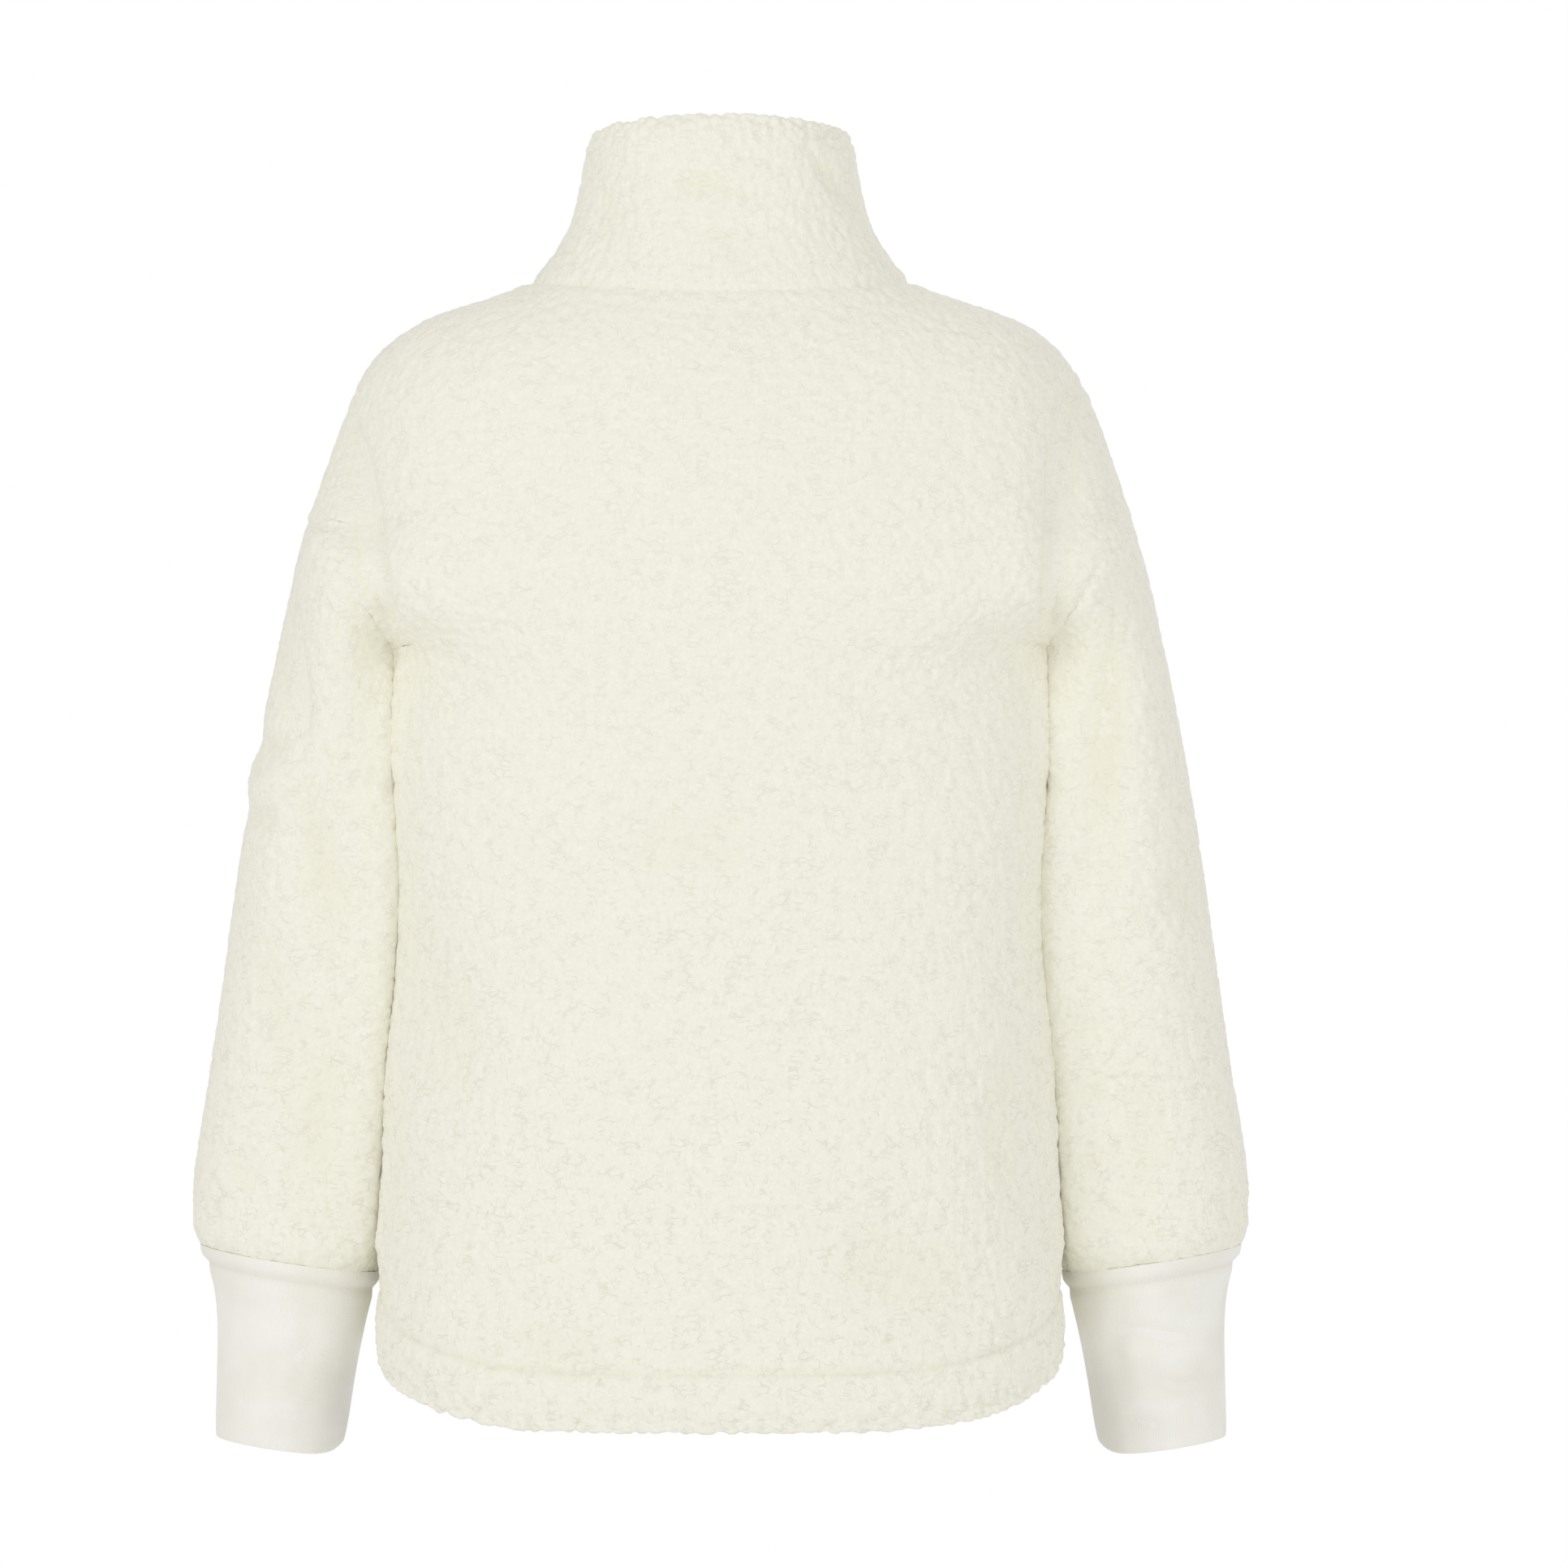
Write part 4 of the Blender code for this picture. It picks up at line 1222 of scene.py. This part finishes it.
    def press(self) -> None:
        """Moves the outer side for its folds, its seams, its edges and its pile, and stores the
        painted shade of its creases and grooves.
        """
        mesh = self.shape.data
        places = vertex_places(mesh)
        outer = self.layer_vertices(Layer.OUTER, Layer.ROUND_RIM)
        rise, crease_shade = fold_field(places, self.normals, self.folds)
        rise += sum(swell.rise(places) for swell in self.swells)
        lines = [(shape, np.array(self.seam_places[name])) for name, shape in self.seams.items()]
        lines += [(shape, self.edge_places(opening)) for opening, shape in self.edges.items()]
        shaggy = np.ones(len(places))
        for index, (shape, line) in enumerate(lines):
            distance = nearest_distance(places, line, EDGE_REACH)
            rise += np.where(distance < EDGE_REACH, shape.height(distance), 0.0)
            # Painted shade in the stitched grooves beside seams and edges.
            crease_shade = np.maximum(crease_shade, GROOVE_SHADE * shape.groove_share(distance))
            if index >= len(self.seams):
                shaggy += SHAGGY_EDGE * np.exp(-((distance / SHAGGY_WIDTH) ** 2))
        if self.pile:
            rise += self.pile * shaggy * pile_field(places, outer)
        rise[~outer] = 0.0
        move_vertices(mesh, places + self.normals * rise[:, None])
        # Stores the painted crease and groove shade for the finishes to read.
        crease_shade_attribute = mesh.attributes.new("crease_shade", "FLOAT", "POINT")
        crease_shade_attribute.data.foreach_set("value", np.where(outer, crease_shade, 0.0))
        self.thin()

    def thin(self) -> None:
        """Takes the flattest faces out of a piece that has too many triangles."""
        count = sum(len(face.vertices) - 2 for face in self.shape.data.polygons)
        if count > MOST_TRIANGLES:
            thinning = self.shape.modifiers.new("Thinning", "DECIMATE")
            thinning.ratio = MOST_TRIANGLES / count
            apply_modifiers(self.shape)

    def unwrap(self) -> None:
        """Lays a map on a piece whose pattern needs one. The pile's pattern needs none."""

    def dress(self, material: bpy.types.Material) -> None:
        """Args:
            material: The finish.
        """
        mesh = self.shape.data
        mesh.materials.clear()
        mesh.materials.append(material)
        mesh.polygons.foreach_set("material_index", np.zeros(len(mesh.polygons), dtype=np.int32))
        mesh.polygons.foreach_set("use_smooth", np.ones(len(mesh.polygons), dtype=bool))
        mesh.update()
        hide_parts(self.node)
        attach(self.shape, "jacket")
        mesh.calc_loop_triangles()
        LOG.info("%s: %d triangles", self.shape.name, len(mesh.loop_triangles))


@dataclass
class KnitCuff(ClothPanel):
    """A knit cuff, smooth, with a rolled ridge under its seam."""

    cuts: int = 3
    smoothing: int = 6
    pile: float = 0.0
    slot: str = "knit"
    heights: tuple[float, float] = (-0.674, -0.56)
    middles: tuple[float, float] = (0.2575, 0.2505)
    middle_y: float = 0.023
    radius: float = 0.038

    def unwrap(self) -> None:
        """Lays a map round the cuff, in metres, for its wales."""
        mesh = self.shape.data
        places = vertex_places(mesh)
        side = math.copysign(1.0, places[0, 0])
        middle_x = side * np.interp(places[:, 2], self.heights, self.middles)
        corners = corner_vertices(mesh)
        turn = np.arctan2(places[:, 1] - self.middle_y, places[:, 0] - middle_x)[corners]
        for face in mesh.polygons:
            span = turn[face.loop_start:face.loop_start + face.loop_total]
            if span.max() - span.min() > math.pi:
                span[span < 0] += 2 * math.pi
        uv = np.column_stack([turn * self.radius, places[corners, 2]])
        mesh.uv_layers.new(name="wales").data.foreach_set("uv", uv.ravel())


@dataclass
class ZipTape(ClothPanel):
    """A woven tape behind a front's edge."""

    cuts: int = 1
    smoothing: int = 0
    slot: str = "tape"

    def unwrap(self) -> None:
        """Lays a map along the tape, in metres, for its weave."""
        mesh = self.shape.data
        uv = vertex_places(mesh)[corner_vertices(mesh)][:, [0, 2]]
        mesh.uv_layers.new(name="weave").data.foreach_set("uv", uv.ravel())


@dataclass
class ZipTeeth:
    """The closed teeth of the zip, which stand for the plain chain."""

    node: str = "zip_chain"
    pitch: float = 0.00125
    reach: float = 0.0034
    past_middle: float = 0.0006
    thickness: float = 0.0022
    height: float = 0.00105
    neck_share: float = 0.72
    head_share: float = 0.86
    root_share: float = 1.1
    rounding: float = 0.00018
    sample_x: float = 0.0008
    smooth_angle: float = math.radians(35)

    def one_tooth(self) -> bpy.types.Object:
        """Models one tooth with a rounded head and a narrower neck.

        Returns:
            The tooth, with its head at +X.
        """
        bpy.ops.mesh.primitive_cube_add(size=1.0)
        tooth = bpy.context.object
        with editing(tooth):
            bpy.ops.mesh.subdivide(number_cuts=2)
        places = vertex_places(tooth.data)
        along, middle, end = places[:, 0], 0.3, 0.4
        places[(along > -middle) & (along < 0), 2] *= self.neck_share
        places[along > end, 2] *= self.head_share
        places[along < -end, 2] *= self.root_share
        move_vertices(tooth.data, places * np.array((self.reach, self.thickness, self.height)))
        edges = tooth.modifiers.new("Rounded", "BEVEL")
        edges.width = self.rounding
        edges.segments = 1
        apply_modifiers(tooth)
        return tooth

    def build(self, material: bpy.types.Material) -> None:
        """Sets the teeth along the chain's front and replaces the chain.

        Args:
            material: The finish.
        """
        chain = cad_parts[self.node]
        heights = vertex_places(chain.data)[:, 2]
        mesh = bmesh.new()
        mesh.from_mesh(chain.data)
        tree = BVHTree.FromBMesh(mesh)
        mesh.free()
        tooth = self.one_tooth()
        shape = vertex_places(tooth.data)
        faces = [tuple(face.vertices) for face in tooth.data.polygons]
        bpy.data.objects.remove(tooth)
        vertices: list[np.ndarray] = []
        joined: list[tuple[int, ...]] = []
        inward = Vector((0.0, -1.0, 0.0))
        z = heights.max() - self.pitch
        side = 1
        while z > heights.min() + self.pitch:
            hit, out, _, _ = tree.ray_cast(Vector((self.sample_x, 1.0, z)), inward)
            if hit is None:
                z -= self.pitch
                continue
            out = np.array((0.0, out[1], out[2]))
            out /= np.linalg.norm(out)
            down = np.array((0.0, out[2], -out[1]))
            centre = np.array(hit) - out * self.thickness / 2
            centre[0] = side * (self.past_middle - self.reach / 2)
            placed = centre + shape @ np.array(((side, 0.0, 0.0), out, down))
            start = len(vertices) * len(shape)
            step = 1 if side < 0 else -1
            joined += [tuple(start + corner for corner in face[::step]) for face in faces]
            vertices.append(placed)
            z -= self.pitch * abs(down[2])
            side = -side
        teeth = bpy.data.meshes.new("zip_teeth")
        teeth.from_pydata(np.vstack(vertices).tolist(), [], joined)
        teeth.materials.append(material)
        item = bpy.data.objects.new("zip_teeth", teeth)
        bpy.context.scene.collection.objects.link(item)
        make_active(item)
        bpy.ops.object.shade_smooth_by_angle(angle=self.smooth_angle)
        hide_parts(self.node)
        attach(item, "jacket")
        LOG.info("zip_teeth: %d teeth", len(vertices))


@dataclass(frozen=True)
class Lamp:
    """A soft square lamp: its place, its side and its power in watts."""

    name: str
    place: Point
    size: float
    power: float


@dataclass
class Studio:
    """The camera, the lights and the floor."""

    eye: Point = (0.0367, -3.5, -0.2848)
    aim: Point = (0.0, 0.0, -0.29)
    lens: float = 138.8
    floor_z: float = -1.3
    floor_radius: float = 2.6
    floor_colour: Colour = (0.93, 0.93, 0.92)
    sky: float = 0.69
    lamps: tuple[Lamp, ...] = (
        Lamp("key", (-2.2, -2.4, 0.6), 1.2, 20.0),
        Lamp("fill", (1.9, -2.6, 0.3), 1.6, 14.5),
        Lamp("rear", (0.8, 2.5, 1.0), 1.4, 16.0),
    )

    def add_camera(self) -> None:
        """Adds the camera, level and square to the jacket's back."""
        bpy.ops.object.camera_add(location=self.eye, rotation=(math.pi / 2, 0.0, 0.0))
        camera = bpy.context.object
        camera.name = "camera"
        camera.data.lens = self.lens
        camera.data.sensor_width = 36.0
        bpy.context.scene.camera = camera

    def add_floor(self) -> None:
        """Adds the pale floor."""
        bpy.ops.mesh.primitive_circle_add(
            vertices=96, radius=self.floor_radius, fill_type="NGON", location=(0, 0, self.floor_z)
        )
        floor = bpy.context.object
        floor.name = "floor"
        bpy.ops.object.transform_apply(location=True, rotation=True, scale=True)
        material, sheet, shader = new_material("studio_floor")
        sheet.feed(shader, {"Base Color": self.floor_colour, "Roughness": 0.9})
        floor.data.materials.append(material)

    def add_lamp(self, lamp: Lamp) -> None:
        """Adds a lamp aimed at the jacket.

        Args:
            lamp: The lamp.
        """
        light = bpy.data.lights.new(lamp.name, "AREA")
        light.shape = "SQUARE"
        light.size = lamp.size
        light.energy = lamp.power
        item = bpy.data.objects.new(lamp.name, light)
        item.location = lamp.place
        aim = Vector(self.aim) - Vector(lamp.place)
        item.rotation_euler = aim.to_track_quat("-Z", "Y").to_euler()
        bpy.context.scene.collection.objects.link(item)

    def add_sky(self) -> None:
        """Adds the plain white surroundings, a little brighter to the camera than to the cloth."""
        world = bpy.data.worlds.new("studio_sky")
        bpy.context.scene.world = world
        world.use_nodes = True
        sheet = NodeSheet(world.node_tree)
        backdrop = world.node_tree.nodes["Background"]
        white = (1.0, 1.0, 1.0)
        sheet.feed(backdrop, {"Color": white, "Strength": self.sky})
        seen = sheet.add("ShaderNodeBackground", {"Color": white, "Strength": 1.0})
        path = sheet.add("ShaderNodeLightPath")
        inputs = {0: path.outputs["Is Camera Ray"], 1: backdrop.outputs[0], 2: seen.outputs[0]}
        blend = sheet.add("ShaderNodeMixShader", inputs)
        sheet.feed(world.node_tree.nodes["World Output"], {"Surface": blend.outputs[0]})

    def build(self) -> None:
        """Adds everything."""
        self.add_camera()
        self.add_floor()
        for lamp in self.lamps:
            self.add_lamp(lamp)
        self.add_sky()
        scene = bpy.context.scene
        scene.view_settings.view_transform = "Standard"
        scene.view_settings.look = "None"


def cloth_panels() -> list[ClothPanel]:
    """Sets out the cloth pieces with their folds and seams.

    Returns:
        The pieces, not yet built.
    """
    plain = EdgeShape(0.0009, 0.0030, 0.0005, 0.0060, 0.0040)
    armhole = EdgeShape(0.0003, 0.0026, 0.0004, 0.0055, 0.0032)
    neck = EdgeShape(0.0008, 0.0030, 0.0004, 0.0070, 0.0040)
    hem = EdgeShape(0.0006, 0.0030, 0.0006, 0.0140, 0.0100, 0.0016, 0.0268, 0.0020)
    sleeve_end = EdgeShape(0.0006, 0.0030, 0.0014, 0.0110, 0.0070, 0.0006, 0.0008, 0.0014)
    cuff_top = EdgeShape(0.0002, 0.0015, 0.0010, 0.0050, 0.0038, 0.0014, 0.0115, 0.0028)
    zip_edge = EdgeShape(0.0012, 0.0024, 0.0006, 0.0055, 0.0030, 0.0011, 0.0095, 0.0018)
    top_edge = EdgeShape(0.0003, 0.0030)
    folds = BACK_FOLDS + FRONT_FOLDS + SLEEVE_FOLDS + COLLAR_FOLDS
    pile_panel = partial(ClothPanel, folds=folds, swells=SWELLS)
    seams = {"collar": neck, "sleeve_left": armhole, "sleeve_right": armhole}
    seams |= {"front_left": plain, "front_right": plain}
    edges = {Opening.HEM: hem}
    panels = [pile_panel("back", FLEECE_WALL, (0.50, 0.67), 0.308, seams=seams, edges=edges)]
    for side in SIDES:
        front, sleeve, cuff = "front_" + side, "sleeve_" + side, "cuff_" + side
        seams = {"collar": neck, sleeve: armhole, "back": plain}
        edges = {Opening.HEM: hem, Opening.FRONT: zip_edge}
        size = (0.26, 0.65)
        panels.append(pile_panel(front, FLEECE_WALL, size, 0.155, seams=seams, edges=edges))
        seams = {"back": armhole, front: armhole, cuff: sleeve_end}
        panels.append(pile_panel(sleeve, FLEECE_WALL, (0.41, 0.42), 0.140, seams=seams))
        size = (0.28, 0.11)
        seams = {sleeve: cuff_top}
        panels.append(KnitCuff(cuff, KNIT_WALL, size, 0.029, folds=CUFF_FOLDS, seams=seams))
    seams = {"back": neck, "front_left": neck, "front_right": neck}
    edges = {Opening.TOP: top_edge, Opening.FRONT: zip_edge}
    panels.append(
        pile_panel("collar", COLLAR_WALL, (0.52, 0.12), 0.056, seams=seams, edges=edges)
    )
    return panels


def main() -> None:
    """Builds the looks in order and reports each piece."""
    logging.basicConfig(level=logging.INFO, format="%(message)s")
    Studio().build()

    pile = curly_pile_group()
    knit = knit_group()
    weave = KnitFinish("zip_tape_weave", (0.83, 0.81, 0.73), (0.78, 0.76, 0.68), wales=1100.0)
    finishes = {
        "fleece": PileFinish("curly_fleece").build(pile),
        "knit": KnitFinish("cuff_jersey").build(knit),
        "tape": weave.build(knit),
    }
    moulded = HardFinish("zip_moulding", (0.80, 0.78, 0.70), (0.76, 0.74, 0.66), 0.45, 0.0).build()
    plated = HardFinish("zip_plating", (0.80, 0.79, 0.76), (0.74, 0.73, 0.70), 0.3, 1.0).build()

    panels = {panel.node: panel for panel in cloth_panels()}
    tapes = [ZipTape("zip_tape_" + side, TAPE_WALL, (0.0128, 0.69), 0.0086) for side in SIDES]
    for panel in (*panels.values(), *tapes):
        panel.copy_solid()
        panel.refine()
    for panel in panels.values():
        panel.find_rims()
    for panel in panels.values():
        panel.close_seams(panels)
    for panel in panels.values():
        panel.press()
    for panel in (*panels.values(), *tapes):
        panel.unwrap()
        panel.dress(finishes[panel.slot])

    ZipTeeth().build(moulded)
    for node, material in (("zip_box", moulded), ("zip_slider", plated), ("zip_pull", plated)):
        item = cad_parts[node]
        item.data.materials.clear()
        item.data.materials.append(material)
        LOG.info("%s dressed", node)


if __name__ == "__main__":
    main()
